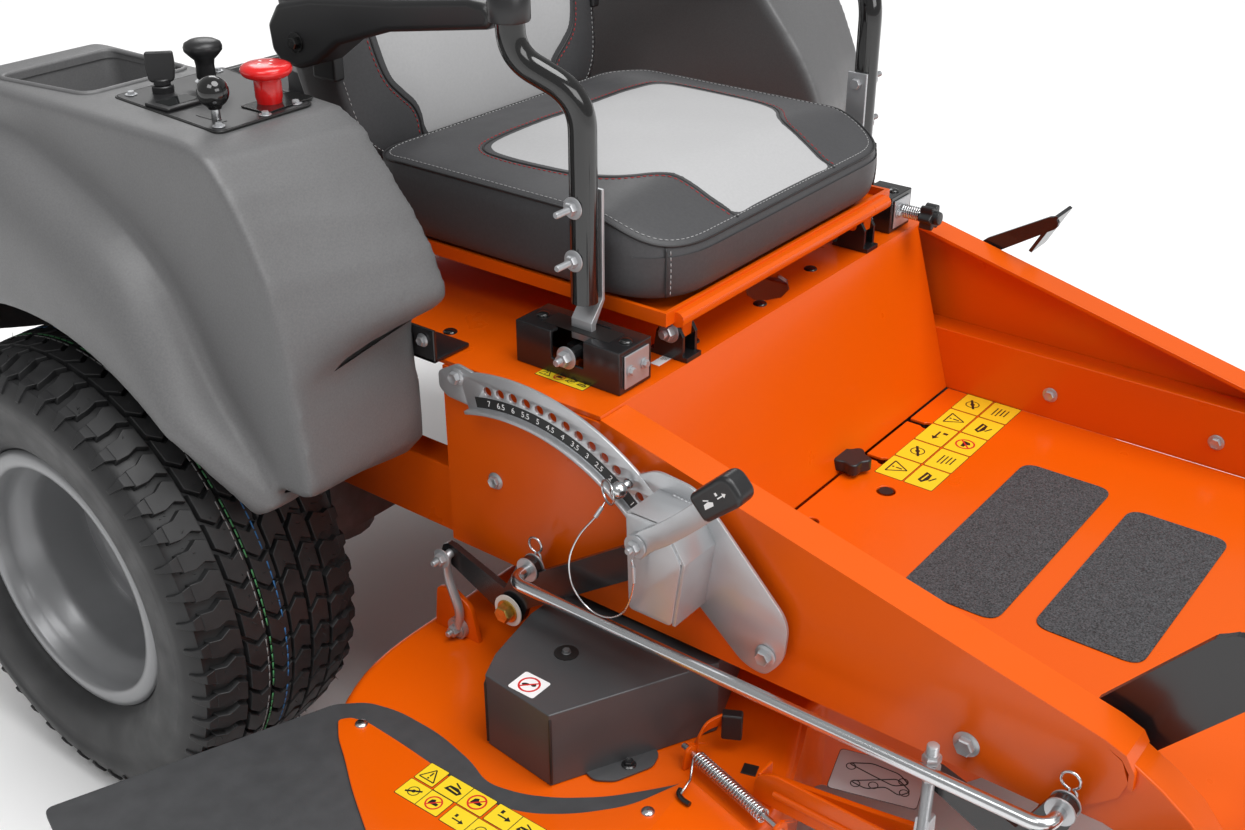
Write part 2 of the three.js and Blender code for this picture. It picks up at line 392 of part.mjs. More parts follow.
const rounded = (x0, x1, y0, y1, r, n = 4) => {
  const p = [];
  for (const [cx, cy, a] of [[x1 - r, y1 - r, 0], [x0 + r, y1 - r, 90], [x0 + r, y0 + r, 180], [x1 - r, y0 + r, 270]])
    for (let i = 0; i <= n; i++) { const t = ((a + (90 * i) / n) * Math.PI) / 180; p.push([cx + r * Math.cos(t), cy + r * Math.sin(t)]); }
  return p;
};
add(seat, "seat_cushion", join(plateZ(rounded(-252, 252, -578, -132, 70), 653.3, 722), plateZ(rounded(-236, 236, -562, -140, 58), 718, 742)), VINYL, [0, -366, 653]);
const backrest = (() => {
  const body = plateY(rounded(-248, 248, 742, 1128, 70), -112, -34);
  return turnedAbout(body, [1, 0, 0], (-11 * Math.PI) / 180, [0, -112, 742]);
})();
add(seat, "seat_backrest", backrest, VINYL, [0, -73, 742]);
const armrest = join(plateX([[-46, 862], [-42, 892], [-62, 918], [-120, 932], [-250, 946], [-360, 962], [-384, 960], [-395, 948], [-388, 934], [-340, 926], [-240, 910], [-160, 884], [-120, 856], [-90, 846], [-60, 848]], -303, -253.5));
add(seat, "armrest_right", armrest, BLACK, [-278, -82, 874]);
add(seat, "armrest_left", mirrored(armrest), BLACK, [278, -82, 874]);

// --- rear wheels
const half = (p) => [...p, ...p.slice().reverse().map(([r, a]) => [r, -a])];
const tyreProfile = [...half([[152.4, 74], [205, 105], [278, 84]]).slice().reverse(), ...half([[152.4, 88], [172, 88.6], [205, 118], [245, REAR_W / 2], [283, 104], [REAR_R, 62]])];
const rearRim = [[REAR_RIM_R, 95.5], [REAR_RIM_R, 89], [REAR_BEAD_R, 89], [REAR_BEAD_R, -89], [REAR_RIM_R, -89], [REAR_RIM_R, -95.5], [147, -95.5], [147, -28], [17.4, -28], [17.4, -18], [118, -16], [140, -8], [148, 95.5]];
for (const s of [-1, 1]) {
  const side = s < 0 ? "_right" : "_left", axle = [s * REAR_X, 0, REAR_R], wheel = group(machine, axle);
  const profile = (p) => p.map(([r, a]) => [r, s < 0 ? -a : a]);
  const tyre = turned(profile(tyreProfile), "x", axle, 24);
  const bolts = Array.from({ length: 5 }, (_, i) => rod("x", 6.5, Math.min(s * (REAR_X - 22), s * (REAR_X - 4)), Math.max(s * (REAR_X - 22), s * (REAR_X - 4)), 57 * Math.cos(0.3 + i * 1.2566), REAR_R + 57 * Math.sin(0.3 + i * 1.2566), 6));
  const rim = join(turned(profile(rearRim), "x", axle, 24), ...bolts);
  add(wheel, "rear_tyre" + side, tyre, RUBBER, axle);
  add(wheel, "rear_rim" + side, rim, RIM, axle);
}

// --- casters
const casterAxle = [CASTER_Y + CASTER_TRAIL, FRONT_R];
const frontWheelProfile = [[8.6, -58], [22, -58], [22, -30], [60, -30], [68, -58], [112, -FRONT_W / 2], [FRONT_R, -44],
  [FRONT_R, 44], [112, FRONT_W / 2], [68, 58], [60, 30], [22, 30], [22, 58], [8.6, 58]];
for (const s of [-1, 1]) {
  const side = s < 0 ? "_right" : "_left", x = s * CASTER_X;
  const swivel = group(machine, [x, CASTER_Y, 300]);
  const stem = rod("z", 12.2, 284, 398, x, CASTER_Y, 16), cap = rod("z", 20, 392.4, 400, x, CASTER_Y, 16);
  const crown = plateZ([[x - 95, CASTER_Y - 34], [x + 95, CASTER_Y - 34], [x + 95, CASTER_Y + 40], [x - 95, CASTER_Y + 40]], 283, 289.6);
  const cheek = (k) => plateX([[CASTER_Y - 34, 289], [CASTER_Y + 40, 289], [casterAxle[0] + 24, casterAxle[1] + 8], [casterAxle[0] + 16, casterAxle[1] - 20], [casterAxle[0] - 16, casterAxle[1] - 20], [casterAxle[0] - 26, casterAxle[1] + 10]], x + (k < 0 ? -95 : 87), x + (k < 0 ? -87 : 95));
  const pin = rod("x", 8, x - 100, x + 100, ...casterAxle, 12);
  add(swivel, "caster_fork" + side, join(stem, cap, crown, cheek(-1), cheek(1), pin), ORANGE, [x, CASTER_Y, 300]);
  add(swivel, "front_wheel" + side, turned(frontWheelProfile, "x", [x, ...casterAxle], 20), RUBBER, [x, ...casterAxle]);
}

// --- deck lift: cross shafts with bell cranks, rods that keep them parallel, and hanger links
const crankPlate = (at, s, arm) => {
  const x0 = s < 0 ? -CRANK_X - CRANK_T : CRANK_X, x1 = x0 + CRANK_T;
  const parts = [link(at, 19, offset(at, HANGER_PIN), 13, x0, x1), link(at, 19, offset(at, ROD_PIN), 14, x0, x1)];
  if (arm) parts.push(link(offset(at, [-10, 22]), 18, offset(at, LIFT_ARM_END), 18, x0, x1));
  return cut(join(...parts), plateX(ring(...offset(at, HANGER_PIN), 6.6, 10), -420, 420), plateX(ring(...offset(at, ROD_PIN), ROD_R + 0.6, 10), -420, 420));
};
const LIFT_FRONT = [LIFT_REAR[0] + LIFT_PITCH, LIFT_REAR[1]];
const shaftRear = group(machine, [0, ...LIFT_REAR]), shaftFront = group(machine, [0, ...LIFT_FRONT]);
add(shaftRear, "lift_shaft_rear", join(rod("x", 12, -412, 412, ...LIFT_REAR, 12), crankPlate(LIFT_REAR, -1, true), crankPlate(LIFT_REAR, 1, false)), BLACK, [0, ...LIFT_REAR]);
// the front shaft carries the foot pedal arm inside the right rail
const pedal = (() => {
  const arm = join(link(LIFT_FRONT, 20, [-1138, 424], 32, -318, -310), link([-1138, 424], 32, [-1222, 528], 33, -318, -310), link([-1222, 528], 33, [-1330, 548], 20, -318, -310));
  const foot = block(-340, -262, -1352, -1318, 536, 548);
  return join(arm, foot);
})();
add(shaftFront, "lift_shaft_front", join(rod("x", 12, -412, 412, ...LIFT_FRONT, 12), crankPlate(LIFT_FRONT, -1, false), crankPlate(LIFT_FRONT, 1, false), pedal), BLACK, [0, ...LIFT_FRONT]);
for (const s of [-1, 1]) {
  const side = s < 0 ? "_right" : "_left", a = offset(LIFT_REAR, ROD_PIN), b = offset(LIFT_FRONT, ROD_PIN);
  // a straight run between two short legs that turn in to the cranks
  const leg = ([y, z]) => rod("x", ROD_R, Math.min(s * 396, s * (ROD_X + 7)), Math.max(s * 396, s * (ROD_X + 7)), y, z, 10);
  add(machine, "lift_rod" + side, join(rod("y", ROD_R - 0.5, b[0], a[0], s * ROD_X, a[1] + 0.1, 8), leg(a), leg(b)), ZINC, [s * ROD_X, a[0], a[1]]);
}
// hanger links from the cranks down to the deck lugs, right side
const hangerLink = (at) => {
  const top = offset(at, HANGER_PIN), bottom = [top[0] - 9, 258];
  return join(link(top, 12, bottom, 12, -414.5, -408.3), rod("x", 5.8, -414, -394, ...top, 12));
};
add(machine, "hanger_rear", hangerLink(LIFT_REAR), ZINC, [-411, ...offset(LIFT_REAR, HANGER_PIN)]);
add(machine, "hanger_front", hangerLink(LIFT_FRONT), ZINC, [-411, ...offset(LIFT_FRONT, HANGER_PIN)]);

// --- cutter deck
const deckGroup = group(machine, [0, -640, DECK_TOP]);
const deckShell = (() => {
  const body = (r, z0, z1, back) => join(...SPINDLES.map(([x, y]) => plateZ(ring(x, y, r, 28), z0, z1)), block(-451, 451, -640, back, z0, z1), block(-300, 300, -800, -600, z0, z1));
  const outer = body(SHELL_R, DECK_BOTTOM, DECK_TOP, -600 + SHELL_R), inner = body(SHELL_R - DECK_SHEET, DECK_BOTTOM - 5, DECK_TOP - DECK_SHEET, -600 + SHELL_R - DECK_SHEET);
  const bores = SPINDLES.map(([x, y]) => rod("z", 26, 230, 290, x, y, 14));
  // side discharge through the right skirt
  const chute = hull([[-760, -500, 132], [-760, -860, 132], [-560, -500, 132], [-470, -860, 132], [-760, -500, 232], [-760, -860, 232], [-560, -500, 232], [-470, -860, 232]]);
  const lugR = plateX([[-330 - 100, 244], [-360, 244], [-366, 300], [-392, 306], [-420, 290]], -407.8, -401);
  const lugF = join(plateX([[-830, 244], [-830, 262], [-960, 282], [-1010, 292], [-1034, 280], [-1034, 250], [-1000, 236], [-850, 236]], -407.8, -401), block(-440, -401, -850, -790, DECK_TOP - 2, 252));
  const lugs = [lugR, lugF, mirrored(lugR), mirrored(lugF)];
  const hinge = hull([[-412, -752, 244], [-396, -757, 244], [-450, -872, 244], [-434, -877, 244], [-412, -752, 250], [-396, -757, 250], [-450, -872, 250], [-434, -877, 250]]);
  return join(cut(outer, inner, ...bores, chute), ...lugs, hinge);
})();
add(deckGroup, "deck_shell", deckShell, ORANGE, [0, -640, DECK_TOP]);
SPINDLES.forEach(([x, y], i) => {
  const shaft = rod("z", 12.5, 128, 286, x, y, 10), hub = rod("z", 24, 150, 262, x, y, 12), pulley = turned([[0, 262], [62, 262], [54, 271], [62, 280], [0, 280]], "z", [x, y, 0], 16);
  const blade = turnedAbout(block(x - BLADE_R, x + BLADE_R, y - 30, y + 30, 134, 140), [0, 0, 1], 0.5, [x, y, 137]);
  const sails = turnedAbout(join(hull([[x - BLADE_R, y - 30, 139], [x - 130, y - 30, 139], [x - BLADE_R, y - 12, 139], [x - 130, y - 12, 139], [x - BLADE_R, y - 34, 158], [x - 140, y - 34, 158]]), hull([[x + BLADE_R, y + 30, 139], [x + 130, y + 30, 139], [x + BLADE_R, y + 12, 139], [x + 130, y + 12, 139], [x + BLADE_R, y + 34, 158], [x + 140, y + 34, 158]])), [0, 0, 1], 0.5, [x, y, 137]);
  const name = "blade_spindle_" + ["right", "centre", "left"][i];
  add(deckGroup, name, join(shaft, hub, pulley, blade, sails), ZINC, [x, y, 200]);
});
const coverOutline = [[-498, -541], [-531, -556], [-541, -651], [-366, -738], [-262, -700], [-262, -524], [-420, -524]];
const coverInside = [[-495.5, -544], [-528, -558.5], [-537.5, -649], [-366, -734], [-266, -697], [-266, -528], [-419, -528]];
const beltCover = cut(plateZ(coverOutline, DECK_TOP + GAP, 338), plateZ(coverInside, DECK_TOP - 5, 334.5), rod("z", 13, 320, 350, -451, -600, 12), block(-270, -255, -690, -530, 250, 310));
pair(deckGroup, "belt_cover", beltCover, COVER, [-400, -620, DECK_TOP]);
const HINGE_A = [-408, -739], HINGE_DIR = [0.3035, 0.953, 0];
const deflector = (() => {
  const rubber = plateZ([[-591, -383], [-566, -410], [-556, -448], [-556, -509], [-568, -566], [-582, -600], [-572, -640], [-553, -674], [-523, -710], [-489, -738], [-466, -751], [-434, -758], [-466, -872], [-640, -900], [-800, -860], [-880, -760], [-905, -560], [-900, -330], [-880, -272]], DECK_TOP + GAP, DECK_TOP + 7);
  return turnedAbout(rubber, HINGE_DIR, 0, [HINGE_A[0], HINGE_A[1], DECK_TOP]);
})();
add(deckGroup, "chute_deflector", deflector, RUBBER, [HINGE_A[0], HINGE_A[1], DECK_TOP]);
const tongue = plateZ([[-608, -408], [-594, -414], [-588, -436], [-588, -483], [-588, -597], [-578, -642], [-559, -678], [-528, -718], [-492, -746], [-452, -770], [-478, -866], [-600, -880], [-700, -830], [-760, -720], [-745, -620], [-705, -550], [-674, -498], [-647, -459], [-629, -430]], DECK_TOP + 7.3, DECK_TOP + 10);
add(deckGroup, "deflector_plate", tongue, ORANGE, [HINGE_A[0], HINGE_A[1], DECK_TOP]);

// ---------------------------------------------------------------- origin at the middle of the base
machine.updateMatrixWorld(true);
const box = new THREE.Box3().setFromObject(machine);
machine.position.set(-(box.min.x + box.max.x) / 2, -(box.min.y + box.max.y) / 2, -box.min.z);

export default machine;
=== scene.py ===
# Looks of the zero turn mower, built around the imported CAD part. Millimetres in the machine's own
# axes (X = 0 centre plane, Y = 0 rear axle, Z = 0 ground) are turned into the row frame by P().
import json
import math

import bmesh
import bpy
import numpy as np
from mathutils import Matrix, Vector
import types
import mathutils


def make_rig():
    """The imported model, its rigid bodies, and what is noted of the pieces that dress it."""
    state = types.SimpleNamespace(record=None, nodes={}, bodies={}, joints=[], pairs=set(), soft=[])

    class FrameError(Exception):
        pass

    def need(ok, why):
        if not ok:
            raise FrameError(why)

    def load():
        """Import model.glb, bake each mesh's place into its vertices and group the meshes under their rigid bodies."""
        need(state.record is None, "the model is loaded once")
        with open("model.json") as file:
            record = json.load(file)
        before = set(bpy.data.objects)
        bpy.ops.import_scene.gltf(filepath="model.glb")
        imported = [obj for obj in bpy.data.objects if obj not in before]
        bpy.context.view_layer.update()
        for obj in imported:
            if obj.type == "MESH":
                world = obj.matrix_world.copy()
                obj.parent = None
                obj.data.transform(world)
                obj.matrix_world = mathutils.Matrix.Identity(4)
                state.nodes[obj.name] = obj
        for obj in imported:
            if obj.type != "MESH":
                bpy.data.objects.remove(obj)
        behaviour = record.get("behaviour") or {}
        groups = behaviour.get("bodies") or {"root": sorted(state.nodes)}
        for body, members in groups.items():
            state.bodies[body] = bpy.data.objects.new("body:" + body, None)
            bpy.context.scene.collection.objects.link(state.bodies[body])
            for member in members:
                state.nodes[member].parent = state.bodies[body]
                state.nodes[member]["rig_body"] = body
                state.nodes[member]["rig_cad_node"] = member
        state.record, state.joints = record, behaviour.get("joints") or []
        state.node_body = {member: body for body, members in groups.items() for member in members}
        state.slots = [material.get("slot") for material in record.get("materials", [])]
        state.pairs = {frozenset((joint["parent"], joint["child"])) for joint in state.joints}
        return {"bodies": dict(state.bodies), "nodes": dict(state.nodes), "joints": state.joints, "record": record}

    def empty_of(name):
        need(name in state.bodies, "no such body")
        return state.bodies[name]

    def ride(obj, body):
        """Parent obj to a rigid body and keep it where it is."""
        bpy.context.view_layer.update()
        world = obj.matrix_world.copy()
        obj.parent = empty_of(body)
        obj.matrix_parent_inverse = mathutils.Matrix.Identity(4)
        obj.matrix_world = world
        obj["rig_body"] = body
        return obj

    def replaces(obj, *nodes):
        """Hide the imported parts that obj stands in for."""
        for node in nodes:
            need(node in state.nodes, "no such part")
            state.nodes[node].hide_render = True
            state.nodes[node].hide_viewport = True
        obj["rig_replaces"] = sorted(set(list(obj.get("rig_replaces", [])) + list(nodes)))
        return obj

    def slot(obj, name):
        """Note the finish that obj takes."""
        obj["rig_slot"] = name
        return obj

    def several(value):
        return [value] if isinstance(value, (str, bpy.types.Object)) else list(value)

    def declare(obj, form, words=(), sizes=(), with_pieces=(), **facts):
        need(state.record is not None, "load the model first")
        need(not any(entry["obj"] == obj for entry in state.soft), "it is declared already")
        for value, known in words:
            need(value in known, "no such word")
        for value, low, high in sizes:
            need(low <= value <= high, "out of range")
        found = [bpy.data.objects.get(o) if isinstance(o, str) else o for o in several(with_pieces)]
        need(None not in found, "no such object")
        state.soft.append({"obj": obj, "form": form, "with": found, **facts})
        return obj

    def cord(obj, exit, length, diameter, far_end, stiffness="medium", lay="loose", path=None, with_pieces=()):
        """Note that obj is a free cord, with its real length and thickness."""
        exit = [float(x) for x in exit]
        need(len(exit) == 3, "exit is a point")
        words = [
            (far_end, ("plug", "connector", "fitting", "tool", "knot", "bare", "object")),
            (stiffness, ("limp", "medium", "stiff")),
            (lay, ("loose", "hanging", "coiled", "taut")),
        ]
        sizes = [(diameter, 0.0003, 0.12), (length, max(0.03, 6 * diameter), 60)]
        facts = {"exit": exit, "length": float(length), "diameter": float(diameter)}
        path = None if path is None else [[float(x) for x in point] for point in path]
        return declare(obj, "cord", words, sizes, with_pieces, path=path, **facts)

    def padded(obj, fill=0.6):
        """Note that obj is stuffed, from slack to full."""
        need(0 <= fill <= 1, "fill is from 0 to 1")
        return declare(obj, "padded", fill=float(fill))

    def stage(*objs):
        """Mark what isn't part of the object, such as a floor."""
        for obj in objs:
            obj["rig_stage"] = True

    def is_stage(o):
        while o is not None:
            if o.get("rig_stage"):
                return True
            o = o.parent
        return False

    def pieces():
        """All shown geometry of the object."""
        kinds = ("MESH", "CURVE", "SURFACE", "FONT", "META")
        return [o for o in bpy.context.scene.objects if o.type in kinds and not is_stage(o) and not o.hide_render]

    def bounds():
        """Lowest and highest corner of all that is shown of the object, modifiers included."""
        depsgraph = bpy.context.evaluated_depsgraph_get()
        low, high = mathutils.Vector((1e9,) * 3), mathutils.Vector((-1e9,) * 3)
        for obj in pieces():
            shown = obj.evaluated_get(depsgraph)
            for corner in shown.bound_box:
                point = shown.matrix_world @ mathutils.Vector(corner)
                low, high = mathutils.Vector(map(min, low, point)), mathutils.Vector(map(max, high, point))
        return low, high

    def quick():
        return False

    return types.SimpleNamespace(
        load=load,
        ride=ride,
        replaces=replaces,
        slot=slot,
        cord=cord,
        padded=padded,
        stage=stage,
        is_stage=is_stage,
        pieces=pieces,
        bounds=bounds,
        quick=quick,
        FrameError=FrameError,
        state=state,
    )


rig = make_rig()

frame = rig.load()
NODES = frame["nodes"]
CAD_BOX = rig.bounds()
SCENE = bpy.context.scene
rng = np.random.default_rng(7)
OFF = np.array([0.0995, 0.4005, 0.0])


def P(x, y, z):
    return (x / 1000 + OFF[0], y / 1000 + OFF[1], z / 1000 + OFF[2])


# ------------------------------------------------------------------ camera
def place_camera():
    cam = bpy.data.cameras.new("camera")
    cam.sensor_width, cam.lens = 36.0, 42.27
    cam.clip_start, cam.clip_end = 0.05, 60
    o = bpy.data.objects.new("camera", cam)
    SCENE.collection.objects.link(o)
    a, e = math.radians(-52.58), math.radians(28.28)
    right = Vector((math.cos(a), math.sin(a), 0))
    up = Vector((-math.sin(a) * math.sin(e), math.cos(a) * math.sin(e), math.cos(e)))
    back = Vector((math.sin(a) * math.cos(e), -math.cos(a) * math.cos(e), math.sin(e)))
    m = Matrix((right, up, back)).transposed().to_4x4()
    m.translation = Vector(P(-1404, -1404, 1294))
    o.matrix_world = m
    SCENE.camera = o


place_camera()


# ------------------------------------------------------------------ materials
def material(name, colour, rough, metal=0.0, coat=0.0, coat_rough=0.1, spec=0.5, sheen=0.0,
             grain=None, peel=None, mottle=None, wear=None):
    """grain and peel: (scale per metre, bump strength, distance in m); mottle: (scale, amount) of colour; wear: (scale, amount) of roughness."""
    m = bpy.data.materials.new(name)
    m.use_nodes = True
    nt = m.node_tree
    b = nt.nodes["Principled BSDF"]
    b.inputs["Base Color"].default_value = (*colour, 1)
    b.inputs["Roughness"].default_value = rough
    b.inputs["Metallic"].default_value = metal
    b.inputs["Specular IOR Level"].default_value = spec
    b.inputs["Coat Weight"].default_value = coat
    b.inputs["Coat Roughness"].default_value = coat_rough
    b.inputs["Sheen Weight"].default_value = sheen
    tc = nt.nodes.new("ShaderNodeTexCoord")

    def noise(scale, detail=2.0, rough_=0.5):
        n = nt.nodes.new("ShaderNodeTexNoise")
        n.inputs["Scale"].default_value = scale
        n.inputs["Detail"].default_value = detail
        n.inputs["Roughness"].default_value = rough_
        nt.links.new(tc.outputs["Object"], n.inputs["Vector"])
        return n

    last = None
    for spec_ in (grain, peel):
        if not spec_:
            continue
        n = noise(spec_[0], 3.0 if spec_ is grain else 1.0)
        bump = nt.nodes.new("ShaderNodeBump")
        bump.inputs["Strength"].default_value = spec_[1]
        bump.inputs["Distance"].default_value = spec_[2]
        nt.links.new(n.outputs["Fac"], bump.inputs["Height"])
        if last:
            nt.links.new(last.outputs["Normal"], bump.inputs["Normal"])
        last = bump
    if last:
        nt.links.new(last.outputs["Normal"], b.inputs["Normal"])
    if mottle:
        n = noise(mottle[0], 4.0)
        ramp = nt.nodes.new("ShaderNodeValToRGB")
        k = mottle[1]
        ramp.color_ramp.elements[0].position, ramp.color_ramp.elements[1].position = 0.3, 0.7
        ramp.color_ramp.elements[0].color = (*[c * (1 - k) for c in colour], 1)
        ramp.color_ramp.elements[1].color = (*[min(1, c * (1 + k)) for c in colour], 1)
        nt.links.new(n.outputs["Fac"], ramp.inputs["Fac"])
        nt.links.new(ramp.outputs["Color"], b.inputs["Base Color"])
    if wear:
        n = noise(wear[0], 4.0)
        mr = nt.nodes.new("ShaderNodeMapRange")
        mr.inputs["From Min"].default_value, mr.inputs["From Max"].default_value = 0.3, 0.7
        mr.inputs["To Min"].default_value, mr.inputs["To Max"].default_value = rough - wear[1], rough + wear[1]
        nt.links.new(n.outputs["Fac"], mr.inputs["Value"])
        nt.links.new(mr.outputs["Result"], b.inputs["Roughness"])
    return m


ORANGE = material("orange_powder_coat", (0.74, 0.098, 0.0), 0.32, coat=0.12, coat_rough=0.1, spec=0.32, peel=(260, 0.05, 0.0006), wear=(9, 0.05))
BLACK = material("black_powder_coat", (0.012, 0.012, 0.013), 0.26, coat=0.3, coat_rough=0.15, peel=(300, 0.06, 0.0006))
PLASTIC = material("grained_moulded_plastic", (0.128, 0.128, 0.130), 0.42, spec=0.55, grain=(1300, 0.35, 0.0004), mottle=(500, 0.10), wear=(14, 0.05))
BLACK_PLASTIC = material("black_plastic", (0.016, 0.016, 0.017), 0.36, grain=(1500, 0.12, 0.0003))
GLOSS_BLACK = material("gloss_black", (0.008, 0.008, 0.008), 0.12, coat=0.5, coat_rough=0.05)
TYRE = material("tyre_rubber", (0.017, 0.0172, 0.018), 0.50, spec=0.42, grain=(700, 0.18, 0.0004), mottle=(60, 0.18), wear=(30, 0.08))
RUBBER = material("flap_rubber", (0.052, 0.053, 0.056), 0.58, grain=(700, 0.2, 0.0004), mottle=(40, 0.12))
RIM = material("rim_paint", (0.24, 0.243, 0.25), 0.36, metal=0.35, coat=0.2, peel=(240, 0.04, 0.0005))
ZINC = material("zinc_plate", (0.50, 0.51, 0.525), 0.36, metal=0.68, grain=(420, 0.06, 0.0002), mottle=(26, 0.03), wear=(60, 0.04))
STEEL = material("polished_bar", (0.66, 0.67, 0.68), 0.22, metal=1.0, peel=(120, 0.05, 0.0004))
ALLOY = material("cast_alloy", (0.20, 0.205, 0.21), 0.5, metal=0.7, grain=(380, 0.5, 0.0008), mottle=(30, 0.2))
ENGINE = material("engine_black", (0.022, 0.022, 0.024), 0.45, metal=0.3, grain=(500, 0.3, 0.0006))
COVER = material("belt_cover_paint", (0.056, 0.057, 0.060), 0.42, spec=0.5, coat=0.1, coat_rough=0.3, peel=(420, 0.10, 0.0005), mottle=(12, 0.10))
VINYL = material("dark_vinyl", (0.058, 0.058, 0.061), 0.50, spec=0.4, grain=(900, 0.30, 0.0005), mottle=(300, 0.08), wear=(20, 0.05))
VINYL_LIGHT = material("light_vinyl", (0.44, 0.44, 0.445), 0.55, spec=0.35, grain=(900, 0.28, 0.0005), mottle=(300, 0.03))
WELT = material("dark_welt", (0.02, 0.02, 0.021), 0.45)
RED_THREAD = material("red_thread", (0.42, 0.01, 0.012), 0.6)
GREY_THREAD = material("grey_thread", (0.42, 0.42, 0.42), 0.6)
RED = material("red_plastic", (0.72, 0.012, 0.012), 0.22, coat=0.3)
GOLD = material("yellow_zinc", (0.62, 0.40, 0.10), 0.34, metal=0.95, mottle=(200, 0.15))
NYLON = material("white_nylon", (0.80, 0.79, 0.75), 0.5)
WHITE = material("white_print", (0.85, 0.85, 0.85), 0.45)
YELLOW = material("yellow_label", (0.86, 0.62, 0.02), 0.38, coat=0.3)
# black for print on labels, scale and pictograms; the same black is painted shade where holes, slots and a groove are
# drawn as thin black sheets
PRINT_AND_PAINTED_SHADE = material("black_print", (0.012, 0.012, 0.012), 0.4)
RED_INK = material("red_print", (0.62, 0.02, 0.02), 0.4)
GRIT = material("grip_pad_grit", (0.050, 0.052, 0.056), 0.80, grain=(520, 1.0, 0.0016), mottle=(560, 0.95))
BLUE_LINE = material("blue_line", (0.02, 0.12, 0.30), 0.6)
GREEN_LINE = material("green_line", (0.05, 0.22, 0.08), 0.6)
GREY_LINE = material("grey_line", (0.22, 0.22, 0.22), 0.6)
GLASS = material("meter_glass", (0.01, 0.012, 0.012), 0.06, coat=1.0, coat_rough=0.02)
SLOT_OF = {"orange_powder_coat": "powder_orange", "black_powder_coat": "powder_black", "grained_moulded_plastic": "moulded_grey",
           "tyre_rubber": "tyre_rubber", "rim_paint": "rim_paint", "zinc_plate": "zinc", "polished_bar": "zinc",
           "cast_alloy": "cast_alloy", "dark_vinyl": "vinyl", "belt_cover_paint": "cover_grey", "black_plastic": "black_plastic",
           "red_plastic": "red_plastic", "flap_rubber": "flap_rubber", "engine_black": "engine_black"}


# ------------------------------------------------------------------ mesh helpers
def finish_mesh(me, mats, angle=35):
    me.validate(clean_customdata=False)
    for m in (mats if isinstance(mats, (list, tuple)) else [mats]):
        me.materials.append(m)
    me.polygons.foreach_set("use_smooth", [True] * len(me.polygons))
    me.update()
    if angle is not None:
        me.set_sharp_from_angle(angle=math.radians(angle))


def piece(name, verts, faces, mat, body, angle=35, bevel=0, seg=2, stands=(), mm=True, mat_index=None, bevel_angle=30):
    """A new mesh piece in machine millimetres (or in the row frame, mm=False) that rides on a CAD body."""
    v = np.asarray(verts, float)
    if mm:
        v = v / 1000 + OFF
    me = bpy.data.meshes.new(name)
    me.from_pydata(v.tolist(), [], [list(map(int, f)) for f in faces])
    bm = bmesh.new()
    bm.from_mesh(me)
    bmesh.ops.recalc_face_normals(bm, faces=bm.faces)
    bm.to_mesh(me)
    bm.free()
    if mat_index is not None:
        me.polygons.foreach_set("material_index", mat_index)
    finish_mesh(me, mat, None if bevel else angle)
    o = bpy.data.objects.new(name, me)
    SCENE.collection.objects.link(o)
    if bevel:
        add_bevel(o, bevel, seg, bevel_angle)
    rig.ride(o, body)
    if stands:
        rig.replaces(o, *([stands] if isinstance(stands, str) else stands))
    first = mat[0] if isinstance(mat, (list, tuple)) else mat
    if first.name in SLOT_OF and SLOT_OF[first.name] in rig.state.slots:
        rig.slot(o, SLOT_OF[first.name])
    return o


def add_bevel(o, w, seg=2, angle=30):
    m = o.modifiers.new("edges", "BEVEL")
    m.width, m.segments, m.limit_method, m.angle_limit = w / 1000, seg, "ANGLE", math.radians(angle)
    m.use_clamp_overlap = True
    m.miter_outer = "MITER_ARC"
    n = o.modifiers.new("normals", "WEIGHTED_NORMAL")
    n.keep_sharp = False
    n.weight = 80


def refine(node, mat, bevel=1.2, seg=2, angle=30, dissolve=1.0):
    """A CAD node's own shape with rounded edges and the given finish, standing for the node."""
    src = NODES[node]
    bm = bmesh.new()
    bm.from_mesh(src.data)
    bmesh.ops.remove_doubles(bm, verts=bm.verts, dist=3e-5)
    bmesh.ops.dissolve_limit(bm, angle_limit=math.radians(dissolve), verts=bm.verts, edges=bm.edges, use_dissolve_boundaries=False)
    bm.verts.ensure_lookup_table()
    verts = [v.co[:] for v in bm.verts]
    faces = [[v.index for v in f.verts] for f in bm.faces]
    bm.free()
    return piece("look_" + node, verts, faces, mat, src["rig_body"], bevel=bevel, seg=seg, stands=node, mm=False, bevel_angle=angle)


def ring_faces(n, m, closed=True, flip=False):
    """Quads between m rings of n points, rings one after another."""
    f = []
    for j in range(m - 1):
        for i in range(n if closed else n - 1):
            a, b = j * n + i, j * n + (i + 1) % n
            f.append((a, b, b + n, a + n))
    return f


def merge(*parts):
    """Joins (verts, faces) lists into one."""
    V, F = [], []
    for v, f in parts:
        k = len(V)
        V.extend([tuple(p) for p in v])
        F.extend([[i + k for i in face] for face in f])
    return V, F


AXES = {"x": 0, "y": 1, "z": 2}


def lathe(profile, axis, centre, n=64, closed=True, a0=0.0, a1=2 * math.pi):
    """(radius, along) profile turned about an axis through centre."""
    k = AXES[axis]
    u, w = (k + 1) % 3, (k + 2) % 3
    full = abs(a1 - a0 - 2 * math.pi) < 1e-6
    V, m = [], len(profile)
    for i in range(n if full else n + 1):
        t = a0 + (a1 - a0) * i / n
        for r, h in profile:
            p = [0.0, 0.0, 0.0]
            p[k], p[u], p[w] = h, r * math.cos(t), r * math.sin(t)
            V.append((p[0] + centre[0], p[1] + centre[1], p[2] + centre[2]))
    F = []
    rows = n if full else n + 1
    for i in range(n):
        for j in range(m if closed else m - 1):
            a, b = i * m + j, i * m + (j + 1) % m
            c, d = ((i + 1) % rows) * m + (j + 1) % m, ((i + 1) % rows) * m + j
            F.append((a, b, c, d))
    return V, F


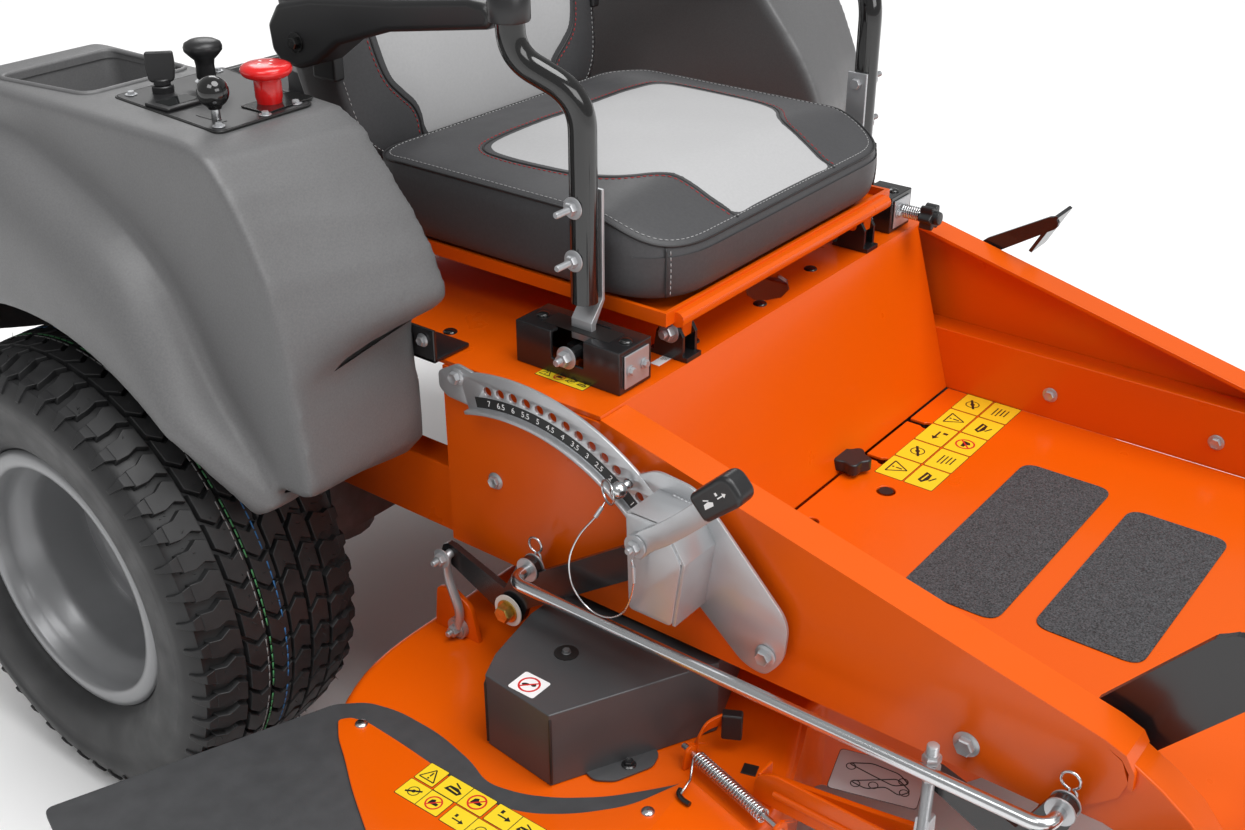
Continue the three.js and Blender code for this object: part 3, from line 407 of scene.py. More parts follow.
def solid_lathe(profile, axis, centre, n=32):
    """A turned solid whose profile starts and ends on the axis (radius 0)."""
    inner = [p for p in profile if p[0] > 1e-6]
    V, F = lathe(inner, axis, centre, n, closed=False)
    m = len(inner)
    k = AXES[axis]
    ends = []
    for idx, h in ((0, profile[0][1]), (m - 1, profile[-1][1])):
        p = [centre[0], centre[1], centre[2]]
        p[k] += h
        V.append(tuple(p))
        e = len(V) - 1
        for i in range(n):
            F.append((i * m + idx, ((i + 1) % n) * m + idx, e))
    return V, F


def cyl(axis, r, a0, a1, u, v, n=24, ch=0.0):
    """A round bar from a0 to a1 along an axis at (u, v) on the two other axes in x, y, z order."""
    k = AXES[axis]
    c = [0.0, 0.0, 0.0]
    rest = [i for i in range(3) if i != k]
    c[rest[0]], c[rest[1]] = u, v
    s = 1 if a1 > a0 else -1
    prof = [(0, a0), (r - ch, a0), (r, a0 + s * ch), (r, a1 - s * ch), (r - ch, a1), (0, a1)] if ch else [(0, a0), (r, a0), (r, a1), (0, a1)]
    return solid_lathe(prof, axis, c, n)


def boxm(x0, x1, y0, y1, z0, z1):
    V = [(x, y, z) for z in (z0, z1) for y in (y0, y1) for x in (x0, x1)]
    F = [(0, 2, 3, 1), (4, 5, 7, 6), (0, 1, 5, 4), (2, 6, 7, 3), (0, 4, 6, 2), (1, 3, 7, 5)]
    return V, F


def prism(outline, axis, a0, a1):
    """A flat plate: outline in the plane named by the missing axis, in x, y, z order, between a0 and a1."""
    k = AXES[axis]
    rest = [i for i in range(3) if i != k]
    V = []
    for a in (a0, a1):
        for p in outline:
            q = [0.0, 0.0, 0.0]
            q[k], q[rest[0]], q[rest[1]] = a, p[0], p[1]
            V.append(tuple(q))
    n = len(outline)
    F = [tuple(range(n)), tuple(range(2 * n - 1, n - 1, -1))]
    F += [(i, (i + 1) % n, (i + 1) % n + n, i + n) for i in range(n)]
    return V, F


def route(points, radius, steps=8):
    """Straight runs with circular-looking corners, as a list of points."""
    v = [Vector(p) for p in points]
    out = [v[0]]
    for i in range(1, len(v) - 1):
        r = radius[i - 1] if isinstance(radius, (list, tuple)) else radius
        a, b = (v[i] - v[i - 1]), (v[i + 1] - v[i])
        d = min(r, a.length * 0.49, b.length * 0.49)
        s, e = v[i] - a.normalized() * d, v[i] + b.normalized() * d
        for j in range(steps + 1):
            t = j / steps
            out.append(s * (1 - t) ** 2 + v[i] * 2 * t * (1 - t) + e * t * t)
    out.append(v[-1])
    return [tuple(p) for p in out]


def smooth_path(points, per=8):
    """A Catmull-Rom line through the points."""
    p = [Vector(q) for q in points]
    p = [p[0] * 2 - p[1]] + p + [p[-1] * 2 - p[-2]]
    out = []
    for i in range(1, len(p) - 2):
        for j in range(per):
            t = j / per
            a, b, c, d = p[i - 1], p[i], p[i + 1], p[i + 2]
            out.append(0.5 * ((2 * b) + (c - a) * t + (2 * a - 5 * b + 4 * c - d) * t * t + (3 * b - a - 3 * c + d) * t ** 3))
    out.append(p[-2])
    return [tuple(q) for q in out]


def tube(points, radius, n=14, caps=True, closed=False):
    """A round tube along a line of points; radius may be a list."""
    p = [Vector(q) for q in points]
    m = len(p)
    tang = []
    for i in range(m):
        a = p[(i - 1) % m] if (closed or i) else p[i]
        b = p[(i + 1) % m] if (closed or i < m - 1) else p[i]
        tang.append((b - a).normalized())
    ref = Vector((0, 0, 1)) if abs(tang[0].z) < 0.9 else Vector((1, 0, 0))
    u = (ref - tang[0] * ref.dot(tang[0])).normalized()
    V, us = [], []
    for i in range(m):
        u = (u - tang[i] * u.dot(tang[i])).normalized()
        w = tang[i].cross(u)
        r = radius[i] if isinstance(radius, (list, tuple)) else radius
        for j in range(n):
            t = 2 * math.pi * j / n
            V.append(tuple(p[i] + (u * math.cos(t) + w * math.sin(t)) * r))
    F = ring_faces(n, m)
    if closed:
        best, k0 = 1e9, 0
        for k in range(n):
            d = (Vector(V[(m - 1) * n]) - Vector(V[k])).length
            if d < best:
                best, k0 = d, k
        F += [((m - 1) * n + i, (m - 1) * n + (i + 1) % n, (i + 1 + k0) % n, (i + k0) % n) for i in range(n)]
    elif caps:
        F += [tuple(range(n - 1, -1, -1)), tuple(range((m - 1) * n, m * n))]
    return V, F


def orient(part, axis, at):
    """Moves a part made along +Z at the origin so that +Z is along axis at a point."""
    z = Vector(axis).normalized()
    x = Vector((1, 0, 0)) if abs(z.x) < 0.8 else Vector((0, 1, 0))
    x = (x - z * x.dot(z)).normalized()
    y = z.cross(x)
    V = [tuple(Vector(at) + x * p[0] + y * p[1] + z * p[2]) for p in part[0]]
    return V, part[1]


def turn(part, axis, angle, centre):
    r = Matrix.Rotation(angle, 3, Vector(axis).normalized())
    c = Vector(centre)
    return [tuple(c + r @ (Vector(p) - c)) for p in part[0]], part[1]


def mirror(part):
    return [(-p[0], p[1], p[2]) for p in part[0]], [tuple(reversed(f)) for f in part[1]]


# ------------------------------------------------------------------ fasteners (each one mesh)
def hex_head(af, h, washer=0.0, wt=1.6, point=0.0):
    """A hexagon head standing on z = 0, with an optional washer and a threaded end above."""
    parts = []
    z = 0.0
    if washer:
        parts.append(solid_lathe([(0, 0), (washer - 0.4, 0), (washer, 0.4), (washer, wt - 0.3), (washer - 0.4, wt), (0, wt)], "z", (0, 0, 0), 28))
        z = wt
    R = af / math.sqrt(3)
    V = []
    for zz, r in ((z, R), (z + h - 0.12 * af, R), (z + h, R * 0.86)):
        V += [(r * math.cos(math.pi / 3 * i), r * math.sin(math.pi / 3 * i), zz) for i in range(6)]
    F = ring_faces(6, 3) + [(5, 4, 3, 2, 1, 0), (12, 13, 14, 15, 16, 17)]
    parts.append((V, F))
    if point:
        r = af * 0.28
        prof = [(0, z)] + [(r, z)]
        zz = z + h
        prof += [(r, zz)]
        k = 0
        while zz < z + h + point - 1.4:
            prof += [(r - 0.7, zz + 0.5), (r, zz + 1.0)]
            zz += 1.0
        prof += [(r - 0.8, z + h + point), (0, z + h + point)]
        parts.append(solid_lathe(prof, "z", (0, 0, 0), 18))
    return merge(*parts)


def flange_bolt(af, h):
    R = af / math.sqrt(3)
    fl = solid_lathe([(0, 0), (af * 0.78, 0), (af * 0.8, 0.8), (af * 0.62, 2.2), (0, 2.4)], "z", (0, 0, 0), 28)
    V = []
    for zz, r in ((1.0, R), (h * 0.85, R), (h, R * 0.84), (h - 0.8, R * 0.55)):
        V += [(r * math.cos(math.pi / 3 * i), r * math.sin(math.pi / 3 * i), zz) for i in range(6)]
    F = ring_faces(6, 4) + [(18, 19, 20, 21, 22, 23)]
    return merge(fl, (V, F))


def dome(r, h, n=28):
    prof = [(0, 0), (r, 0)] + [(r * math.cos(t), 0.3 + (h - 0.3) * math.sin(t)) for t in np.linspace(0.0, math.pi / 2, 8)[:-1]] + [(0, h)]
    return solid_lathe(prof, "z", (0, 0, 0), n)


COUNT = {}


def put(part, at, axis, mat, body, kind="bolt", bevel=0):
    COUNT[kind] = COUNT.get(kind, 0) + 1
    V, F = orient(part, axis, at)
    return piece(f"{kind}_{COUNT[kind]:02d}", V, F, mat, body, angle=32, bevel=bevel)


# ------------------------------------------------------------------ CAD nodes with rounded edges
def looks_of_cad():
    table = [
        (ORANGE, 2.2, 3, ["rail_right", "rail_left", "seat_platform", "floor_plate", "front_crossmember", "seat_pan", "caster_fork_right", "caster_fork_left"]),
        (ORANGE, 2.6, 3, ["side_panel_right", "side_panel_left"]),
        (BLACK, 1.2, 2, ["lift_shaft_rear", "lift_shaft_front", "lever_housing_right", "lever_housing_left", "seat_hinge_right", "seat_hinge_left", "park_brake_lever"]),
        (BLACK, 0.8, 2, ["lever_rocker_right", "lever_rocker_left"]),
        (ZINC, 0.8, 2, ["lever_arm_right", "lever_arm_left", "blade_spindle_right", "blade_spindle_centre", "blade_spindle_left"]),
        (ALLOY, 4.0, 3, ["hydro_right", "hydro_left"]),
        (ENGINE, 5.0, 3, ["engine"]),
        (COVER, 2.4, 3, ["belt_cover_right", "belt_cover_left"]),
        (BLACK_PLASTIC, 9.0, 4, ["armrest_right", "armrest_left"]),
    ]
    for mat, w, seg, names in table:
        for n in names:
            refine(n, mat, w, seg)


# ------------------------------------------------------------------ rear wheels
REAR_X, REAR_R = 566.5, 292.0


def tyre_surface(a):
    """Radius of the block tops at a distance a from the tyre's middle."""
    k = abs(a)
    top = 291.6 - 0.0009 * k * k - (0.02 * (k - 84) ** 2 if k > 84 else 0)
    return top


def rear_wheel(side):
    s = -1 if side == "right" else 1
    cx = s * REAR_X
    c = (cx, 0, REAR_R)
    base = []
    for a in np.linspace(-98, 98, 21):
        base.append((tyre_surface(a) - 8.5, a))
    right_wall = [(272, 108), (262, 114.5), (250, 118.6), (238, 119.8), (236, 118.4), (222, 118.0), (205, 115.5), (190, 110), (180, 103), (174, 96), (171.5, 91), (166, 88.5), (153, 88.4)]
    inner = [(153, 74), (205, 96), (262, 96), (272, 80)]
    prof = [(r, -a) for r, a in reversed(right_wall)] + base + right_wall + inner + [(r, -a) for r, a in reversed(inner)]
    V, F = lathe(prof, "x", c, 144)
    piece(f"tyre_{side}", V, F, TYRE, f"rear_wheel_{side}", angle=50, stands=f"rear_tyre_{side}")
    # tread blocks
    N = 50
    pitch = 2 * math.pi / N

    def at(a, t, r):
        return (cx + a, r * math.cos(t), REAR_R + r * math.sin(t))

    blocks = []

    def block(outline, drop=0.0, depth=8.5):
        """outline: (a in mm, angle in pitches) of a block's top, counter-clockwise."""
        ca = sum(p[0] for p in outline) / len(outline)
        ct = sum(p[1] for p in outline) / len(outline)
        top, low = [], []
        for a, t in outline:
            r = tyre_surface(a) - drop
            top.append(at(a, t * pitch, r))
            low.append(at(a + (a - ca) * 0.06, (t + (t - ct) * 0.10) * pitch, r - depth - 1.2))
        n = len(outline)
        blocks.append((top + low, [tuple(range(n))] + [(i, i + n, (i + 1) % n + n, (i + 1) % n) for i in range(n)]))

    for i in range(N):
        # two inner columns each side of the middle, chevrons that lean alternate ways
        for col, (a0, a1, lean) in enumerate(((-58, -32, 1), (-27, -2, 1), (2, 27, -1), (32, 58, -1))):
            ph = i + (0.5 if col in (1, 2) else 0.0)
            mid = (a0 + a1) / 2
            k = 0.30 * lean
            g = 0.40
            o = [(a0, ph - g - k * 0.5), (mid, ph - g + k * 0.62), (a1, ph - g - k * 0.1), (a1 + 0.0, ph + g - k * 0.1), (mid, ph + g + k * 0.62), (a0, ph + g - k * 0.5)]
            block(o)
        for m in (-1, 1):
            ph = i + 0.25
            g = 0.36
            o = [(m * 63, ph - g), (m * 74, ph - g - 0.16), (m * 86, ph - g + 0.04), (m * 98, ph - g + 0.02),
                 (m * 98, ph + g - 0.10), (m * 86, ph + g - 0.06), (m * 74, ph + g - 0.16), (m * 63, ph + g)]
            block(o)
            # shoulder lug that runs down the side
            lug_t = [(ph - g + 0.04, ph + g - 0.14), (ph - g + 0.10, ph + g - 0.26), (ph - 0.20, ph + 0.02), (ph - 0.22, ph - 0.06)]
            line = [(tyre_surface(98), 98.0), (278, 108.5), (268.5, 114.6), (259, 118.6)]
            W, G = [], []
            for (r, a), (t0, t1) in zip(line, lug_t):
                W += [at(m * a, t0 * pitch, r), at(m * a, t1 * pitch, r), at(m * (a - 7), t1 * pitch, r - 6), at(m * (a - 7), t0 * pitch, r - 6)]
            for j in range(3):
                b = j * 4
                G += [(b + q, b + (q + 1) % 4, b + 4 + (q + 1) % 4, b + 4 + q) for q in range(4)]
            G += [(3, 2, 1, 0), (12, 13, 14, 15)]
            blocks.append((W, G))
    V, F = merge(*blocks)
    piece(f"tread_{side}", V, F, TYRE, f"rear_wheel_{side}", angle=40, bevel=0.9, seg=2)
    # thin sipes drawn as dark narrow prisms are left to the blocks; vent hairs and mould lines
    hairs = []
    r_ = np.random.default_rng(11 if s < 0 else 12)
    for i in range(N * 7):
        t = r_.uniform(0, 2 * math.pi)
        if math.cos(t + math.pi / 2) > 0.955:  # none where the tyre stands on the ground
            continue
        a = r_.choice([-92, -80, -45, -14, 14, 45, 80, 92]) + r_.uniform(-4, 4)
        r0 = tyre_surface(a) - 1
        L = r_.uniform(3.5, 8.5)
        lean = r_.uniform(-2.5, 2.5)
        p0 = np.array(at(a, t, r0))
        p1 = np.array(at(a + lean, t + r_.uniform(-0.012, 0.012), r0 + L))
        hairs.append(tube([tuple(p0), tuple((p0 + p1) / 2), tuple(p1)], [0.42, 0.36, 0.18], 4))
    V, F = merge(*hairs)
    piece(f"tyre_hairs_{side}", V, F, TYRE, f"rear_wheel_{side}", angle=None)
    for mat, a, w in ((BLUE_LINE, 8.2, 0.8), (GREEN_LINE, 29.3, 0.8), (GREY_LINE, 34.8, 0.6)):
        parts = []
        for i in range(N * 3):
            if i % 7 == 3:
                continue
            t0, t1 = i * pitch / 3, (i + 0.8) * pitch / 3
            r = tyre_surface(a) + 0.15
            q = [at(s * -1 * (a - w) * -1, t0, r), at(s * (a + w), t0, r), at(s * (a + w), t1, r), at(s * (a - w), t1, r)]
            q2 = [at(s * (a - w), t0, r - 1), at(s * (a + w), t0, r - 1), at(s * (a + w), t1, r - 1), at(s * (a - w), t1, r - 1)]
            parts.append((q + q2, [(0, 1, 2, 3), (4, 7, 6, 5), (0, 4, 5, 1), (1, 5, 6, 2), (2, 6, 7, 3), (3, 7, 4, 0)]))
        V, F = merge(*parts)
        piece(f"{mat.name}_{side}", V, F, mat, f"rear_wheel_{side}", angle=None)
    # rim: rolled lips, drop centre and deep set disc
    o = s  # outside direction
    lip = [(147.5, 93), (150, 96.5), (156, 98.2), (163, 97.4), (168.5, 94.5), (170, 91.5), (168, 89.4), (162, 90.2), (156, 90.6), (151.5, 87), (150.3, 74), (146, 64), (133, 56), (131, 40), (131, -40), (134, -54), (146, -64), (150.3, -74), (151.5, -87), (156, -90.6), (162, -90.2), (168, -89.4), (170, -91.5), (168.5, -94.5), (163, -97.4), (156, -98.2), (150, -96.5), (147.5, -93)]
    innerp = [(146, -80), (141, -66), (129, -56), (127, -40), (127, -28), (124, -20), (112, -16), (96, -19), (84, -25), (60, -26), (17.5, -26), (17.5, -21), (60, -21), (82, -20), (95, -14), (112, -11), (125, -15), (127, -8), (127, 40), (129, 56), (141, 66), (145.8, 80)]
    prof = [(r, a * o) for r, a in lip + innerp]
    V, F = lathe(prof, "x", c, 128)
    piece(f"rim_{side}", V, F, RIM, f"rear_wheel_{side}", angle=60, stands=f"rear_rim_{side}")
    x = cx + s * -21
    for i in range(5):
        t = 0.3 + i * 1.2566
        y, z = 57 * math.cos(t), REAR_R + 57 * math.sin(t)
        put(flange_bolt(19, 12), (x, y, z), (s, 0, 0), ZINC, f"rear_wheel_{side}", "wheel_nut")
    V, F = cyl("x", 16, cx + s * -24, cx + s * 2, 0, REAR_R, 28, 1.5)
    piece(f"hub_end_{side}", V, F, ZINC, f"rear_wheel_{side}")
    # valve stem in the outer barrel
    t = 2.2
    p0 = (cx + s * 44, 131 * math.cos(t), REAR_R + 131 * math.sin(t))
    p1 = (cx + s * 66, 112 * math.cos(t), REAR_R + 112 * math.sin(t))
    V, F = tube([p0, tuple((np.array(p0) + p1) / 2), p1], [5.0, 4.0, 3.6], 12)
    piece(f"valve_{side}", V, F, BLACK_PLASTIC, f"rear_wheel_{side}")


# ------------------------------------------------------------------ front wheels
def front_wheel(side):
    s = -1 if side == "right" else 1
    c = (s * 470, -1240, 140)
    wall = [(134, 57), (128, 64), (120, 69.5), (110, 72), (98, 72), (86, 68.5), (76, 62), (71, 57.5)]
    crown = [(139.7 - 0.0011 * a * a, a) for a in np.linspace(-48, 48, 17)]
    prof = [(r, -a) for r, a in reversed(wall)] + crown + wall + [(68, 50), (66, 0), (68, -50)]
    V, F = lathe(prof, "x", c, 96)
    piece(f"front_tyre_{side}", V, F, TYRE, f"front_wheel_{side}", angle=50, stands=f"front_wheel_{side}")
    ribs = []
    for a in (-40, -20, 0, 20, 40):
        r0 = 139.7 - 0.0011 * a * a
        ribs.append(lathe([(r0 - 2, a - 1.6), (r0 + 0.15, a - 1.2), (r0 + 0.15, a + 1.2), (r0 - 2, a + 1.6)], "x", c, 72))
    V, F = merge(*ribs)
    piece(f"front_ribs_{side}", V, F, TYRE, f"front_wheel_{side}")
    rim = [(71, 58), (73.5, 60.5), (73.5, 56), (68.5, 53), (66, 30), (66, -30), (68.5, -53), (73.5, -56), (73.5, -60.5), (71, -58), (64, -50), (60, -34), (40, -31), (23, -31), (23, -58), (9, -58), (9, 58), (23, 58), (23, 31), (40, 31), (60, 34), (64, 50)]
    V, F = lathe(rim, "x", c, 72)
    piece(f"front_rim_{side}", V, F, RIM, f"front_wheel_{side}", angle=45)
    for k in (-1, 1):
        put(hex_head(19, 9, 13), (c[0] + k * 95, c[1], c[2]), (k, 0, 0), ZINC, f"caster_{side}", "axle_nut")


looks_of_cad()
for sd in ("right", "left"):
    rear_wheel(sd)
    front_wheel(sd)


# ------------------------------------------------------------------ fenders
def modified(o, keep_name=None):
    """Applies the modifiers of a scratch object and returns the mesh."""
    dg = bpy.context.evaluated_depsgraph_get()
    dg.update()
    me = bpy.data.meshes.new_from_object(o.evaluated_get(dg))
    return me


def scratch(name, part):
    me = bpy.data.meshes.new(name)
    v = np.asarray(part[0], float) / 1000 + OFF
    me.from_pydata(v.tolist(), [], [list(f) for f in part[1]])
    bm = bmesh.new()
    bm.from_mesh(me)
    bmesh.ops.recalc_face_normals(bm, faces=bm.faces)
    bm.to_mesh(me)
    bm.free()
    o = bpy.data.objects.new(name, me)
    SCENE.collection.objects.link(o)
    return o


def resample(line, n):
    p = np.array(line, float)
    d = np.concatenate([[0], np.cumsum(np.linalg.norm(np.diff(p, axis=0), axis=1))])
    t = np.linspace(0, d[-1], n)
    return np.stack([np.interp(t, d, p[:, k]) for k in range(p.shape[1])], 1)


FRONT_IN = [(-215, 857), (-250, 854), (-284, 838), (-318, 799), (-350, 762), (-376, 722), (-392, 684), (-392, 668), (-378, 656), (-340, 634), (-335, 622), (-338, 590), (-343, 512), (-340, 484), (-317, 456), (-263, 430)]
FRONT_OUT = [(-222, 857), (-245, 855), (-268, 846), (-296, 812), (-312, 785), (-337, 730), (-347, 690), (-352, 670), (-356, 645), (-360, 620), (-362, 600), (-366, 570), (-373, 520), (-372, 504), (-350, 498), (-300, 500)]
REAR = [(270, 448), (322, 466), (346, 520), (344, 560), (330, 640), (300, 704), (268, 760), (232, 806), (200, 838), (172, 855), (150, 857)]


def fender_solid():
    xs = [-385, -392, -410, -440, -470, -500, -530, -556, -572, -579]
    rings = []
    for x in xs:
        t = (-385 - x) / (579 - 385)
        tt = t * t * (3 - 2 * t) * 0.35 + t * 0.65
        front = [((1 - tt) * a[0] + tt * b[0], (1 - tt) * a[1] + tt * b[1]) for a, b in zip(FRONT_IN, FRONT_OUT)]
        low = 448 + 50 * t
        rear = [(y, max(z, low)) for y, z in REAR]
        loop = front + [(-200, low), (0, low)] + rear + [(0, 857)]
        rings.append([(x, y, z) for y, z in loop])
    n = len(rings[0])
    V = [p for r in rings for p in r]
    F = ring_faces(n, len(rings)) + [tuple(range(n - 1, -1, -1)), tuple(range((len(rings) - 1) * n, len(rings) * n))]
    pod = (V, F)
    # flare round the wheel arch
    ang = [30, 38, 46.6, 55, 63.3, 69, 78, 88, 98, 110, 122, 134, 146, 154]
    r1 = [372, 377, 371, 388, 432, 456, 472, 494, 532, 534, 505, 462, 420, 392]
    angs = np.linspace(30, 154, 40)
    R1 = np.interp(angs, ang, r1)
    R1 = np.convolve(np.pad(R1, 2, mode="edge"), np.ones(5) / 5, "valid")
    rings = []
    for a, r in zip(angs, R1):
        t = math.radians(a)
        w = 69 * min(1, max(0.0, (a - 24) / 26)) ** 0.7 * (1 - 0.55 * max(0, (a - 132) / 22))
        sec = [(-548, 338), (-548, r + 2), (-572, r)]
        h = min(r - 352, 105)
        for k in range(1, 10):
            f = math.pi / 2 * k / 9
            # a straight shoulder with a rounded outer corner
            sec.append((-572 - w * math.sin(f) ** 0.9, r - h + h * math.cos(f) ** 0.75))
        sec += [(-572 - w, 338)]
        rings.append([(x, -q * math.cos(t), REAR_R + q * math.sin(t)) for x, q in sec])
    n = len(rings[0])
    V = [p for r in rings for p in r]
    F = ring_faces(n, len(rings)) + [tuple(range(n - 1, -1, -1)), tuple(range((len(rings) - 1) * n, len(rings) * n))]
    return merge(pod, (V, F))


def difference(o, cutter):
    m = o.modifiers.new("cut", "BOOLEAN")
    m.operation, m.object, m.solver = "DIFFERENCE", cutter, "EXACT"
    me = modified(o)
    o.modifiers.remove(m)
    old = o.data
    o.data = me
    bpy.data.meshes.remove(old)
    bpy.data.objects.remove(cutter)


def fender(side):
    s = 1 if side == "right" else -1
    flip = (lambda q: q) if s > 0 else mirror
    o = scratch("tmp_fender", flip(fender_solid()))
    m = o.modifiers.new("remesh", "REMESH")
    m.mode, m.voxel_size, m.adaptivity = "VOXEL", 0.0055 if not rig.quick() else 0.008, 0.0
    sm = o.modifiers.new("smooth", "SMOOTH")
    sm.factor, sm.iterations = 0.5, 8 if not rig.quick() else 4
    me = modified(o)
    o.modifiers.clear()
    o.data = me
    # hollow inside, wheel arch, bin
    inner = []
    for x in (-384 - 6.5, -572):
        t = (-385 - x) / (579 - 385)
        f = [((1 - t) * a[0] + t * b[0] + 9, (1 - t) * a[1] + t * b[1] - 7) for a, b in zip(FRONT_IN, FRONT_OUT)]
        loop = [(-205, 850)] + [(y, z) for y, z in f[2:]] + [(-262, 380), (262, 380), (310, 470), (330, 540), (318, 636), (258, 752), (190, 830), (146, 850)]
        inner.append([(x, y, z) for y, z in loop])
    n = len(inner[0])
    V = inner[0] + inner[1]
    F = [tuple(range(n - 1, -1, -1)), tuple(range(n, 2 * n))] + ring_faces(n, 2)
    difference(o, scratch("c", flip((V, F))))
    difference(o, scratch("c", flip(cyl("x", 345, -720, -440, 0, REAR_R, 96))))
    holes = []
    if s > 0:
        rim = [(-553, 116), (-405, 120), (-402, -20), (-534, -20)]
        low = [(-540, 104), (-412, 106), (-410, -10), (-526, -10)]
        rim2, low2 = rounded_poly(rim, 16), rounded_poly(low, 14)
        V = [(x, y, 872) for x, y in rim2] + [(x, y, 742) for x, y in low2]
        n = len(rim2)
        F = [tuple(range(n)), tuple(range(2 * n - 1, n - 1, -1))] + ring_faces(n, 2)
        difference(o, scratch("c", (V, F)))
        # liner of the bin, its wall 3 mm outside the opening
        out, inn = [], []
        for z, k in ((856, 0.0), (742, 1.0)):
            ring_ = [((1 - k) * a[0] + k * b[0], (1 - k) * a[1] + k * b[1]) for a, b in zip(rim2, low2)]
            c = np.mean(ring_, axis=0)
            inn.append([(x, y, z) for x, y in ring_])
            out.append([(c[0] + (x - c[0]) * 1.045, c[1] + (y - c[1]) * 1.045, z - (3 if k else 0)) for x, y in ring_])
        V = out[0] + out[1] + inn[1] + inn[0]
        F = ring_faces(n, 4) + [(i, (i + 1) % n, 3 * n + (i + 1) % n, 3 * n + i) for i in range(n)]
        F += [tuple(range(n, 2 * n))[::-1], tuple(range(2 * n, 3 * n))]
        piece("bin_liner", V, F, PLASTIC, "chassis", angle=40)
        lip = [(x, y, 856.6) for x, y in offset_poly(rim2, 2.0)]
        V, F = tube(lip, 3.6, 10, closed=True)
        piece("bin_lip", V, F, PLASTIC, "chassis", angle=None)
    me = o.data
    me.materials.clear()
    bm = bmesh.new()
    bm.from_mesh(me)
    # only the largest connected shell is kept
    bm.verts.ensure_lookup_table()
    seen, best = set(), []
    for v in bm.verts:
        if v.index in seen:
            continue
        stack, comp = [v], []
        seen.add(v.index)
        while stack:
            q = stack.pop()
            comp.append(q)
            for e in q.link_edges:
                w = e.other_vert(q)
                if w.index not in seen:
                    seen.add(w.index)
                    stack.append(w)
        if len(comp) > len(best):
            best = comp
    keep = set(v.index for v in best)
    bmesh.ops.delete(bm, geom=[v for v in bm.verts if v.index not in keep], context="VERTS")
    bm.to_mesh(me)
    bm.free()
    finish_mesh(me, PLASTIC, 45)
    o.name = f"fender_look_{side}"
    me.name = o.name
    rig.ride(o, "chassis")
    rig.replaces(o, f"fender_{side}")
    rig.slot(o, "moulded_grey")


def rounded_poly(pts, r, n=6):
    out = []
    m = len(pts)
    for i in range(m):
        p, a, b = np.array(pts[i], float), np.array(pts[i - 1], float), np.array(pts[(i + 1) % m], float)
        rr = r[i] if isinstance(r, (list, tuple)) else r
        u, w = (a - p) / np.linalg.norm(a - p), (b - p) / np.linalg.norm(b - p)
        s_, e_ = p + u * rr, p + w * rr
        for j in range(n + 1):
            t = j / n
            out.append(tuple(s_ * (1 - t) ** 2 + p * 2 * t * (1 - t) + e_ * t * t))
    return out


def offset_poly(pts, d):
    p = np.array(pts, float)
    c = p.mean(0)
    prev, nxt = np.roll(p, 1, 0), np.roll(p, -1, 0)
    tg = nxt - prev
    nrm = np.stack([tg[:, 1], -tg[:, 0]], 1)
    nrm /= np.linalg.norm(nrm, axis=1)[:, None] + 1e-9
    sign = np.sign(((p - c) * nrm).sum(1).mean())
    return [tuple(q) for q in p + nrm * sign * d]


